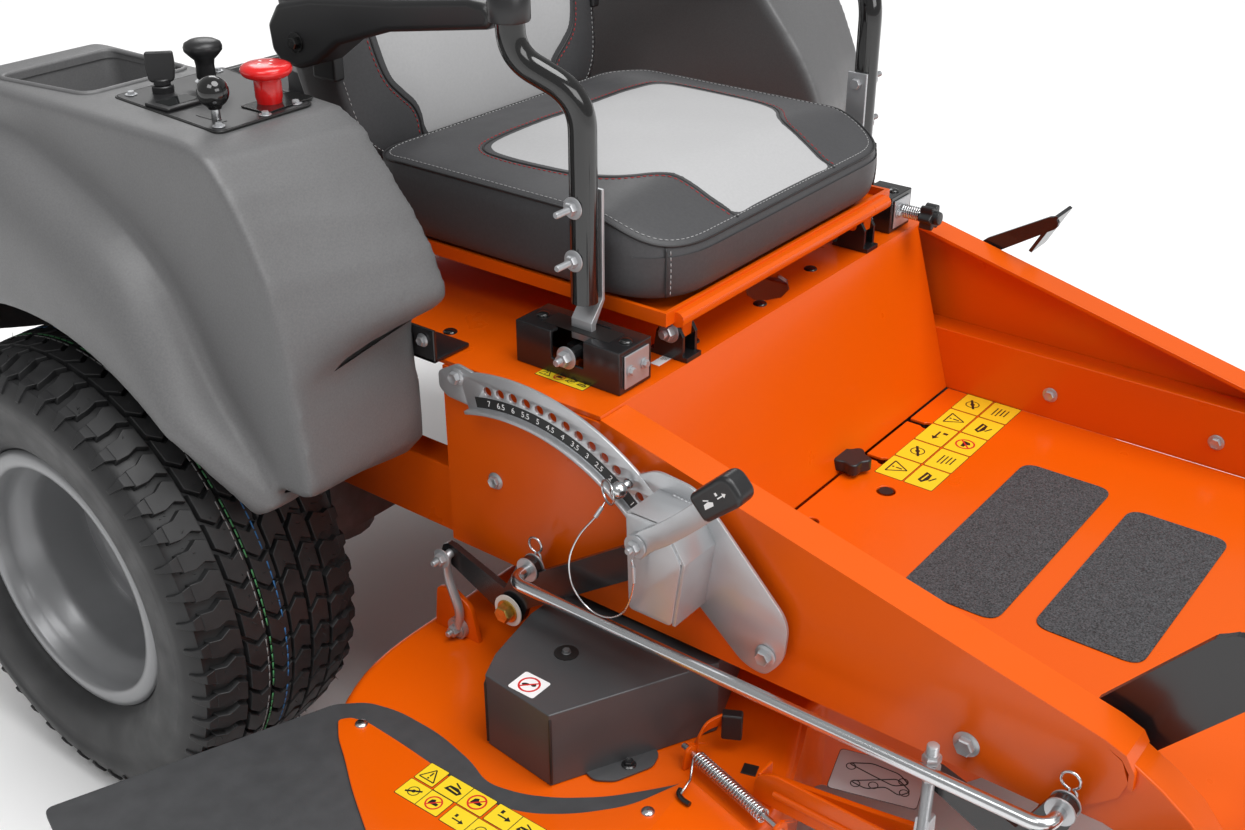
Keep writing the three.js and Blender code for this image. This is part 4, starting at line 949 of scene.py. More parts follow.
# ------------------------------------------------------------------ console
def console():
    z = 857.2
    plate = rounded_poly([(-521, -51), (-536, -239), (-412, -237), (-377, -49)], 9)
    V, F = prism(plate, "z", 852, z + 1.2)
    piece("console_plate", V, F, BLACK_PLASTIC, "chassis", bevel=0.5)
    # the groove round the plate is a thin black tube on its top: painted shade in the groove
    groove = [(x, y, z + 0.1) for x, y in offset_poly(plate, 1.4)]
    V, F = tube(groove, 1.1, 8, closed=True)
    piece("console_groove", V, F, PRINT_AND_PAINTED_SHADE, "chassis", angle=None)
    for i, (x, y) in enumerate([(-508, -62), (-524, -226), (-424, -226), (-392, -60), (-452, -122), (-470, -232)]):
        put(hex_head(7, 3.0, 6.5, 1.0), (x, y, z + 1.2), (0, 0, 1), ZINC, "chassis", "console_screw")
    # hour meter
    V, F = prism(rounded_poly([(-526, -148), (-526, -108), (-466, -108), (-466, -148)], 4), "z", z + 1, z + 5)
    piece("meter_frame", V, F, BLACK_PLASTIC, "chassis", bevel=1.2)
    V, F = prism(rounded_poly([(-518, -141), (-518, -116), (-480, -116), (-480, -141)], 2), "z", z + 4.4, z + 5.3)
    piece("meter_window", V, F, GLASS, "chassis", angle=30)
    # plinths of the clutch switch and the throttle slot
    V, F = prism(rounded_poly([(-468, -232), (-468, -190), (-398, -190), (-398, -226)], 4), "z", z + 1, z + 3)
    piece("switch_plinth", V, F, GLOSS_BLACK, "chassis", bevel=0.6)
    # the throttle's slot is a thin black sheet on the console: painted shade in the opening
    V, F = prism([(-514.5, -218), (-507.5, -218), (-507.5, -178), (-514.5, -178)], "z", z + 1.1, z + 1.7)
    piece("throttle_slot", V, F, PRINT_AND_PAINTED_SHADE, "chassis", angle=30)
    # outline of the red and white marks on the strip at the inner edge; no piece is made from it
    V, F = prism([(-384, -40), (-372, -100), (-360, -96), (-372, -36)], "z", 856.5, 857.6)
    # clutch switch: wide red mushroom
    x, y = PTO
    V, F = solid_lathe([(0, 846), (13, 846), (13, 862), (14.2, 866), (14.2, 882), (13.4, 885), (20, 887), (24, 889), (26.5, 892), (27, 895), (25.5, 898.5), (21, 900.5), (12, 901.6), (0, 902)], "z", (x, y, 0), 48)
    piece("clutch_knob", V, F, RED, "pto_switch", angle=50, stands="pto_switch")
    V, F = merge(*[orient(turn(boxm(-1.1, 1.1, 4, 10, 0, 0.5), (0, 0, 1), k * math.pi / 2, (0, 0, 0)), (0, 0, 1), (x, y, 901.3)) for k in range(4)])
    piece("clutch_marks", V, F, WHITE, "pto_switch", angle=30)
    # choke
    x, y = CHOKE
    V, F = solid_lathe([(0, 832), (5.8, 832), (5.8, 862), (10, 862), (10.5, 864), (10, 876), (11, 882), (17, 888), (20.5, 892), (21, 896), (19.5, 900), (14, 903), (7, 904.4), (0, 904.8)], "z", (x, y, 0), 40)
    piece("choke_look", V, F, BLACK_PLASTIC, "choke_knob", angle=50, stands="choke_knob")
    put(hex_head(17, 4, 13, 1.2), (x, y, 857.6), (0, 0, 1), ZINC, "chassis", "choke_nut")
    # throttle: chromed stalk and black ball
    x, y = THROTTLE
    V, F = merge(tube([(x, y, 826), (x, y, 872)], 4.6, 16), boxm(x - 1.8, x + 1.8, y - 6, y + 6, 822, 860))
    piece("throttle_stalk", V, F, STEEL, "throttle_lever", angle=40)
    V, F = solid_lathe([(0, 870), (6.5, 870), (7.5, 872)] + [(16.2 * math.cos(t), 887 + 16.2 * math.sin(t)) for t in np.linspace(-1.05, 1.45, 14)] + [(0, 903.2)], "z", (x, y, 0), 40)
    piece("throttle_ball", V, F, GLOSS_BLACK, "throttle_lever", angle=60, stands="throttle_lever")
    # key with a broad folded tab
    x, y = KEY
    V, F = merge(cyl("z", 11.5, 846, 866, x, y, 28, 1.0), cyl("z", 9, 866, 873, x, y, 28, 1.0))
    piece("key_collar", V, F, BLACK_PLASTIC, "ignition_key", angle=40)
    tab = rounded_poly([(-13, 0), (13, 0), (15.5, 17), (14.5, 32), (-14.5, 32), (-15.5, 17)], [5, 5, 6, 2.5, 2.5, 6], 4)
    T = prism(tab, "y", -4.6, 4.6)
    T = turn(T, (1, 0, 0), -0.10, (0, 0, 0))
    T = turn(T, (0, 0, 1), -0.75, (0, 0, 0))
    T = ([(p[0] + x, p[1] + y, p[2] + 869) for p in T[0]], T[1])
    piece("key_tab", *T, BLACK_PLASTIC, "ignition_key", bevel=2.2, seg=3, stands="ignition_key")


KEY, CHOKE, THROTTLE, PTO = (-480, -80), (-424, -82), (-511, -206), (-440, -204)


# ------------------------------------------------------------------ padded pieces
def stitches(line, mat, name, body, length=4.6, gap=2.6, r=0.62):
    p = np.array(line, float)
    d = np.concatenate([[0], np.cumsum(np.linalg.norm(np.diff(p, axis=0), axis=1))])
    parts, t = [], gap
    while t + length < d[-1]:
        q = [tuple(np.interp(t + f * length, d, p[:, k]) for k in range(3)) for f in (0, 0.5, 1)]
        parts.append(tube(q, [r * 0.55, r, r * 0.55], 6))
        t += length + gap
    V, F = merge(*parts)
    return piece(name, V, F, mat, body, angle=None)


class Pad:
    """A crowned closed pad over a star-shaped outline (u, v), its top w = height(u, v, rho)."""

    def __init__(self, outline, top, origin, U, Vv, W):
        self.o = np.array(outline, float)
        self.c = np.array([0.0, self.o[:, 1].mean()])
        d = self.o - self.c
        self.ang = np.arctan2(d[:, 1], d[:, 0])
        self.rad = np.hypot(d[:, 0], d[:, 1])
        k = np.argsort(self.ang)
        self.sa = np.concatenate([self.ang[k] - 2 * math.pi, self.ang[k], self.ang[k] + 2 * math.pi])
        self.sr = np.concatenate([self.rad[k]] * 3)
        self.top, self.origin = top, np.array(origin, float)
        self.axes = [np.array(a, float) for a in (U, Vv, W)]

    def rho(self, u, v):
        a, r = math.atan2(v - self.c[1], u - self.c[0]), math.hypot(u - self.c[0], v - self.c[1])
        return r / np.interp(a, self.sa, self.sr)

    def world(self, u, v, w):
        return tuple(self.origin + self.axes[0] * u + self.axes[1] * v + self.axes[2] * w)

    def at(self, u, v, lift=0.0):
        return self.world(u, v, self.top(u, v, self.rho(u, v)) + lift)

    def mesh(self, sides, rings=22):
        n = len(self.o)
        V = []
        for j in range(1, rings + 1):
            q = (j / rings) ** 0.8
            for u, v in self.o:
                a, b = self.c + (np.array([u, v]) - self.c) * q
                V.append(self.world(a, b, self.top(a, b, q)))
        offs = lambda d: offset_poly([tuple(p) for p in self.o], d)
        for d, w in sides:
            for (u, v), (u0, v0) in zip(offs(d), self.o):
                V.append(self.world(u, v, w(u0, v0) if callable(w) else w))
        m = rings + len(sides)
        F = ring_faces(n, m)
        V.append(self.world(self.c[0], self.c[1], self.top(self.c[0], self.c[1], 0)))
        k = len(V) - 1
        F += [(k, (i + 1) % n, i) for i in range(n)]
        F.append(tuple(range((m - 1) * n, m * n)))
        return V, F


def smooth01(t):
    t = max(0.0, min(1.0, t))
    return t * t * (3 - 2 * t)


def densify(poly, step):
    p = np.array(list(poly) + [poly[0]], float)
    d = np.concatenate([[0], np.cumsum(np.linalg.norm(np.diff(p, axis=0), axis=1))])
    n = max(8, int(d[-1] / step))
    t = np.linspace(0, d[-1], n, endpoint=False)
    return [(np.interp(q, d, p[:, 0]), np.interp(q, d, p[:, 1])) for q in t]


def sym(half):
    """half: (u, v) along the +u side from front to rear, u > 0; the loop goes on down the other side."""
    return half + [(-u, v) for u, v in reversed(half)]


def patch(pad, loop, lift, mat, name, body, rings=14, depth=2.2):
    """A stitched-in panel that follows the pad's top and dips at its edge."""
    p = np.array(loop, float)
    c = np.array([0, (p[:, 1].min() + p[:, 1].max()) / 2])
    n = len(p)
    V = []
    for j in range(1, rings + 1):
        q = (j / rings) ** 0.75
        for u, v in p:
            a, b = c + (np.array([u, v]) - c) * q
            V.append(pad.at(a, b, lift - (lift + depth * 0.35) * q ** 10))
    for (u, v) in p:
        V.append(pad.at(u, v, -depth))
    V.append(pad.at(c[0], c[1], lift))
    F = ring_faces(n, rings + 1) + [((len(V) - 1), (i + 1) % n, i) for i in range(n)]
    # closed underneath
    k = rings * n
    V.append(pad.at(c[0], c[1], -depth - 3))
    F += [(len(V) - 1, k + i, k + (i + 1) % n) for i in range(n)]
    return piece(name, V, F, mat, body, angle=70)


def catmull(loop, per=6):
    p = [np.array(q, float) for q in loop]
    m = len(p)
    out = []
    for i in range(m):
        a, b, c, d = p[i - 1], p[i], p[(i + 1) % m], p[(i + 2) % m]
        for j in range(per):
            t = j / per
            out.append(tuple(0.5 * ((2 * b) + (c - a) * t + (2 * a - 5 * b + 4 * c - d) * t * t + (3 * b - a - 3 * c + d) * t ** 3)))
    return out


def seat():
    # cushion: side seam at 745 mm that drops to 716 over the front edge
    outline = densify(rounded_poly([(-252, -578), (252, -578), (250, -134), (-250, -134)], [88, 88, 60, 60], 12), 7)
    seam = lambda u, v: 744 - 27 * smooth01((-478 - v) / 100) - 4 * smooth01((v + 200) / 60)

    def top(u, v, q):
        wave = 0.5 * math.sin(u * 0.05 + v * 0.031) + 0.35 * math.sin(u * 0.083 - v * 0.047)
        crown = 16 * (1 - q ** 2.6)
        return seam(u, v) + crown - 2.2 * math.exp(-(((1 - q) / 0.018) ** 2)) + wave * (1 - q) * 1.2

    pad = Pad(outline, top, (0, 0, 0), (1, 0, 0), (0, 1, 0), (0, 0, 1))
    sides = [(0.6, lambda u, v: seam(u, v) - 4.5), (2.6, lambda u, v: seam(u, v) - 10), (4.2, lambda u, v: seam(u, v) - 22), (4.6, 706), (4.2, 688), (2.6, 672), (-0.4, 661), (-5, 655.5), (-12, 653.6)]
    o = piece("cushion", *pad.mesh(sides), VINYL, "seat", angle=75, stands="seat_cushion")
    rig.padded(o, fill=0.8)
    half = [(60, -578.5), (102, -577.5), (107, -556), (111, -538), (114, -518), (121, -492), (138, -474), (158, -459), (173, -438), (184, -400), (189, -340), (189, -296), (184, -268), (166, -252), (120, -249), (50, -249)]
    loop = catmull([(u, max(v, -575.5)) for u, v in half] + [(-u, max(v, -575.5)) for u, v in reversed(half)], 5)
    p = patch(pad, loop, 1.6, VINYL_LIGHT, "cushion_inset", "seat")
    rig.padded(p, fill=0.7)
    inner = [q for q in loop if q[1] > -574]
    i0 = next(i for i, q in enumerate(loop) if q[1] > -574)
    ordered = [loop[(i0 + j) % len(loop)] for j in range(len(loop))]
    line = [q for q in ordered if q[1] > -574]
    welt = [pad.at(u, v, -0.2) for u, v in line]
    piece("cushion_welt", *tube(welt, 1.7, 8), WELT, "seat", angle=None)
    lo = offset_poly(ordered, 5.2)
    keep = [pad.at(u, v, 0.3) for (u, v), q in zip(lo, ordered) if q[1] > -571]
    stitches(keep, RED_THREAD, "cushion_red_stitch", "seat")
    edge = offset_poly([tuple(q) for q in outline], -7.5)
    stitches([pad.at(u, v, 0.3) for u, v in edge + edge[:1]], GREY_THREAD, "cushion_edge_stitch", "seat", 4.2, 2.4, 0.55)
    rim = offset_poly([tuple(q) for q in outline], 0.6)
    piece("cushion_seam", *tube([pad.world(u, v, seam(u, v) - 1.6) for u, v in rim], 1.5, 8, closed=True), WELT, "seat", angle=None)
    for sx in (-1, 1):
        base = np.array([sx * 226, -560.0])
        nrm = np.array([sx * 0.62, -0.78])
        line = [tuple(base + nrm * (3.0 + 2.4 * math.sin((z - 655) / 60 * math.pi))) + (z,) for z in np.linspace(660, 716, 12)]
        piece(f"corner_seam_{'left' if sx > 0 else 'right'}", *tube([tuple(q) for q in line], 1.3, 8), WELT, "seat", angle=None)
        side = np.array([sx * 0.78, 0.62]) * -5
        stitches([(q[0] + side[0], q[1] + side[1], q[2]) for q in line], GREY_THREAD, f"corner_stitch_{'left' if sx > 0 else 'right'}", "seat", 4.2, 2.4, 0.55)
    # backrest: its own plane, 11 degrees from upright, u across, v up the plane, w forwards
    a = math.radians(11)
    up, fwd = (0, math.sin(a), math.cos(a)), (0, -math.cos(a), math.sin(a))
    out = densify(rounded_poly([(-228, -36), (228, -36), (252, 120), (246, 392), (-246, 392), (-252, 120)], [80, 80, 60, 90, 90, 60], 12), 8)

    def btop(u, v, q):
        bolster = 16 * smooth01((abs(u) - 120) / 70) * (1 - q ** 5)
        return -8 + 12 * (1 - q ** 2.4) + bolster * 0.8 + 0.6 * math.sin(u * 0.05) * (1 - q)

    bp_ = Pad(out, btop, (0, -112, 742), (1, 0, 0), up, fwd)
    sides = [(1.0, -13), (3.0, -20), (4.0, -34), (4.0, -56), (2.5, -68), (-2, -76), (-10, -79)]
    o = piece("backrest", *bp_.mesh(sides), VINYL, "seat", angle=75, stands="seat_backrest")
    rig.padded(o, fill=0.8)
    half = [(50, -33), (100, -32), (117, -26), (128, -10), (131, 10), (140, 28), (160, 46), (178, 66), (188, 96), (193, 140), (190, 200), (176, 270), (150, 330), (100, 348), (40, 350)]
    loop = catmull(half + [(-u, v) for u, v in reversed(half)], 5)
    p = patch(bp_, loop, 1.6, VINYL_LIGHT, "backrest_inset", "seat")
    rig.padded(p, fill=0.7)
    piece("backrest_welt", *tube([bp_.at(u, v, -0.2) for u, v in loop], 1.7, 8, closed=True), WELT, "seat", angle=None)
    lo = offset_poly(loop, 5.2)
    stitches([bp_.at(u, v, 0.3) for u, v in lo + lo[:1]], RED_THREAD, "backrest_red_stitch", "seat")
    edge = offset_poly([tuple(q) for q in out], -8)
    stitches([bp_.at(u, v, 0.4) for u, v in edge + edge[:1]], GREY_THREAD, "backrest_edge_stitch", "seat", 4.2, 2.4, 0.55)
    for sx in (-1, 1):
        put(hex_head(13, 6, 12, 1.6), (sx * 303.2, -92, 878), (sx, 0, 0), GLOSS_BLACK, f"armrest_{'left' if sx > 0 else 'right'}", "armrest_bolt")
        arm = "left" if sx > 0 else "right"
        V, F = boxm(min(sx * 236, sx * 253), max(sx * 236, sx * 253), -96, -56, 820, 905)
        piece(f"armrest_mount_{arm}", V, F, BLACK_PLASTIC, "seat", bevel=4, seg=3)


# ------------------------------------------------------------------ levers
def levers():
    X, T = 295, 331
    for side in ("right", "left"):
        f = (lambda q: q) if side == "right" else mirror
        body = f"lever_{side}"
        line = route([(-X, -505, 664), (-X, -505, 884), (-T, -446, 924), (-T, -444, 975)], 34, 12)
        V, F = tube(line, 15, 24)
        piece(f"lever_tube_look_{side}", *f((V, F)), GLOSS_BLACK, body, angle=45, stands=f"lever_tube_{side}")
        V, F = solid_lathe([(0, 958), (20.5, 958), (21.5, 960), (21.5, 984), (20, 986), (0, 986)], "z", (-T, -444, 0), 28)
        piece(f"lever_collar_{side}", *f((V, F)), BLACK_PLASTIC, body, angle=40)
        grip = route([(-T, -444, 975), (-T, -443, 1034), (-T + 6, -452, 1091)], 30, 10)
        V, F = tube(grip, 19.5, 24)
        rings = [lathe([(19.0, a - 1.8), (20.6, a), (19.0, a + 1.8), (17.5, a)], "z", (-T, -443.6, 1000), 28) for a in np.arange(-4, 30, 6.5)]
        piece(f"lever_grip_{side}", *f(merge((V, F), *rings)), BLACK_PLASTIC, body, angle=50)
        sx = -1 if side == "right" else 1
        for z in (714, 772):
            # bolt through tube and arm with its end towards the outside
            V, F = orient(hex_head(13, 7, 12, 1.6, 20), (-1, 0, 0), (-X - 14.6, -503, z))
            piece(f"lever_nut_{side}_{z}", *f((V, F)), ZINC, body, angle=32)
            V, F = orient(hex_head(13, 6, 0), (1, 0, 0), (-275.2, -503, z))
            piece(f"lever_head_{side}_{z}", *f((V, F)), ZINC, body, angle=32)
        # pivot bolt through the rocker and housing
        V, F = orient(hex_head(15, 9, 13, 1.6, 8), (-1, 0, 0), (-323.4, -502, 607))
        piece(f"housing_nut_{side}", *f((V, F)), ZINC, "chassis", angle=32)
        V, F = orient(hex_head(15, 8, 12, 1.6), (0, -1, 0), (-295, -518.2, 607))
        piece(f"rocker_bolt_{side}", *f((V, F)), ZINC, f"rocker_{side}", angle=32)
        for y in (-560, -446):
            V, F = orient(dome(7.5, 3.4), (0, 0, 1), (-295, y, 632.1))
            piece(f"housing_rivet_{side}_{abs(y)}", *f((V, F)), GLOSS_BLACK, "chassis")


for sd in ("right", "left"):
    fender(sd)
console()
seat()
levers()


# ------------------------------------------------------------------ flat plates with round holes, and print
def circle(y, z, r, n=28):
    return [(y + r * math.cos(2 * math.pi * i / n), z + r * math.sin(2 * math.pi * i / n)) for i in range(n)]


def from_curve(cu, axis, mid):
    o = bpy.data.objects.new("tmp", cu)
    SCENE.collection.objects.link(o)
    me = modified(o)
    bm = bmesh.new()
    bm.from_mesh(me)
    bmesh.ops.remove_doubles(bm, verts=bm.verts, dist=2e-3)
    k = AXES[axis]
    rest = [i for i in range(3) if i != k]
    V = []
    bm.verts.ensure_lookup_table()
    for v in bm.verts:
        q = [0.0, 0.0, 0.0]
        q[k], q[rest[0]], q[rest[1]] = mid + v.co.z, v.co.x, v.co.y
        V.append(tuple(q))
    F = [[v.index for v in f.verts] for f in bm.faces]
    bm.free()
    bpy.data.objects.remove(o)
    bpy.data.curves.remove(cu)
    bpy.data.meshes.remove(me)
    return V, F


def plate(outline, holes, axis, a0, a1, bevel=0.5):
    cu = bpy.data.curves.new("tmp", "CURVE")
    cu.dimensions, cu.fill_mode = "2D", "BOTH"
    for loop in [outline] + list(holes):
        sp = cu.splines.new("POLY")
        sp.points.add(len(loop) - 1)
        for q, p in zip(sp.points, loop):
            q.co = (p[0], p[1], 0, 1)
        sp.use_cyclic_u = True
    cu.extrude, cu.bevel_depth, cu.bevel_resolution, cu.offset = abs(a1 - a0) / 2 - bevel, bevel, 1, -bevel
    return from_curve(cu, axis, (a0 + a1) / 2)


def digits(s, size, depth=0.16):
    cu = bpy.data.curves.new("tmp", "FONT")
    cu.body, cu.size, cu.align_x, cu.align_y, cu.extrude = s, size, "CENTER", "CENTER", depth / 2
    return from_curve(cu, "z", depth / 2)


def place(part, at, u, v):
    u, v, at = Vector(u).normalized(), Vector(v).normalized(), Vector(at)
    w = u.cross(v)
    return [tuple(at + u * p[0] + v * p[1] + w * p[2]) for p in part[0]], part[1]


def flat(pts, z=0.0, t=0.12):
    return prism(pts, "z", z, z + t)


def bar2(x0, y0, x1, y1, w, z, t=0.12):
    d = np.array([x1 - x0, y1 - y0], float)
    n = np.array([-d[1], d[0]]) / (np.linalg.norm(d) + 1e-9) * w / 2
    a, b = np.array([x0, y0], float), np.array([x1, y1], float)
    return flat([tuple(a + n), tuple(a - n), tuple(b - n), tuple(b + n)], z, t)


def annulus(x, y, r0, r1, z, t=0.12):
    return lathe([(r0, z), (r1, z), (r1, z + t), (r0, z + t)], "z", (x, y, 0), 36)


def icon(kind, x, y, s, z):
    """Generic pictograms: lists of (material, part); s is half the height."""
    out = []
    if kind == "warn":
        a, b, c = (x, y + s), (x - 1.1 * s, y - 0.8 * s), (x + 1.1 * s, y - 0.8 * s)
        out += [(PRINT_AND_PAINTED_SHADE, bar2(*p, *q, 0.16 * s, z)) for p, q in ((a, b), (b, c), (c, a))]
        out += [(PRINT_AND_PAINTED_SHADE, bar2(x, y + 0.45 * s, x, y - 0.2 * s, 0.2 * s, z)), (PRINT_AND_PAINTED_SHADE, flat(circle(x, y - 0.5 * s, 0.13 * s, 12), z))]
    if kind in ("no", "sole"):
        if kind == "no":
            out += [(PRINT_AND_PAINTED_SHADE, flat([(x - 0.6 * s, y - 0.35 * s), (x + 0.55 * s, y - 0.25 * s), (x + 0.6 * s, y + 0.1 * s), (x + 0.1 * s, y + 0.12 * s), (x - 0.1 * s, y + 0.5 * s), (x - 0.5 * s, y + 0.3 * s)], z))]
        else:
            out += [(PRINT_AND_PAINTED_SHADE, place(flat([(q[0] * 1.0, q[1] * 0.5) for q in circle(0, 0, 0.36 * s, 20)], z), (x - 0.3 * s, y - 0.12 * s, 0), (1, 0.4, 0), (-0.4, 1, 0))),
                    (PRINT_AND_PAINTED_SHADE, place(flat([(q[0] * 1.0, q[1] * 0.8) for q in circle(0, 0, 0.24 * s, 20)], z), (x + 0.36 * s, y + 0.16 * s, 0), (1, 0.4, 0), (-0.4, 1, 0)))]
        out += [(RED_INK, annulus(x, y, 0.82 * s, s, z + 0.12)), (RED_INK, bar2(x - 0.64 * s, y - 0.64 * s, x + 0.64 * s, y + 0.64 * s, 0.16 * s, z + 0.14))]
    if kind == "blade":
        out += [(PRINT_AND_PAINTED_SHADE, annulus(x, y, 0.62 * s, 0.74 * s, z)), (PRINT_AND_PAINTED_SHADE, bar2(x - 0.9 * s, y - 0.5 * s, x + 0.9 * s, y + 0.5 * s, 0.26 * s, z + 0.1)), (PRINT_AND_PAINTED_SHADE, flat(circle(x, y, 0.24 * s, 16), z + 0.12))]
    if kind == "deck":
        out += [(PRINT_AND_PAINTED_SHADE, flat([(x - s, y - 0.5 * s), (x + 0.8 * s, y - 0.6 * s), (x + 1.1 * s, y - 0.1 * s), (x + 0.3 * s, y + 0.3 * s), (x - 0.7 * s, y + 0.2 * s)], z)),
                (YELLOW, bar2(x - 0.6 * s, y - 0.15 * s, x + 0.7 * s, y - 0.25 * s, 0.16 * s, z + 0.12)), (PRINT_AND_PAINTED_SHADE, bar2(x - 0.4 * s, y + 0.8 * s, x + 0.5 * s, y + 0.4 * s, 0.18 * s, z))]
    if kind == "arrow":
        out += [(PRINT_AND_PAINTED_SHADE, bar2(x - 0.9 * s, y, x + 0.3 * s, y, 0.2 * s, z)), (PRINT_AND_PAINTED_SHADE, flat([(x + 0.3 * s, y + 0.4 * s), (x + 0.3 * s, y - 0.4 * s), (x + 0.95 * s, y)], z)), (PRINT_AND_PAINTED_SHADE, flat([(x - 0.9 * s, y + 0.4 * s), (x - 0.5 * s, y + 0.4 * s), (x - 0.5 * s, y + 0.9 * s), (x - 0.9 * s, y + 0.9 * s)], z))]
    if kind == "lines":
        out += [(PRINT_AND_PAINTED_SHADE, bar2(x - 0.9 * s, y + k * s, x + (0.9 - 0.3 * (k > 0)) * s, y + k * s, 0.14 * s, z)) for k in (-0.6, -0.2, 0.2, 0.6)]
    return out


def sticker(name, at, u, v, w, h, icons, body, base=None, r=1.5, frame=True):
    base = base or YELLOW
    parts = {}

    def push(mat, part):
        parts.setdefault(mat.name, (mat, []))[1].append(part)

    if frame:
        push(PRINT_AND_PAINTED_SHADE, flat(rounded_poly([(-w / 2 - 0.7, -h / 2 - 0.7), (w / 2 + 0.7, -h / 2 - 0.7), (w / 2 + 0.7, h / 2 + 0.7), (-w / 2 - 0.7, h / 2 + 0.7)], r, 4), 0.0, 0.22))
    push(base, flat(rounded_poly([(-w / 2, -h / 2), (w / 2, -h / 2), (w / 2, h / 2), (-w / 2, h / 2)], r, 4), 0.0, 0.34))
    for kind, x, y, s in icons:
        if kind == "split":
            push(PRINT_AND_PAINTED_SHADE, bar2(x, -h / 2, x, h / 2, 0.9, 0.3))
        else:
            for m, p in icon(kind, x, y, s, 0.3):
                push(m, p)
    for i, (mat, ps) in enumerate(parts.values()):
        V, F = place(merge(*ps), at, u, v)
        piece(f"{name}_{i}", V, F, mat, body, angle=30)


def arc_at(r, deg):
    t = math.radians(deg)
    return (-484 - r * math.cos(t), 320 + r * math.sin(t))


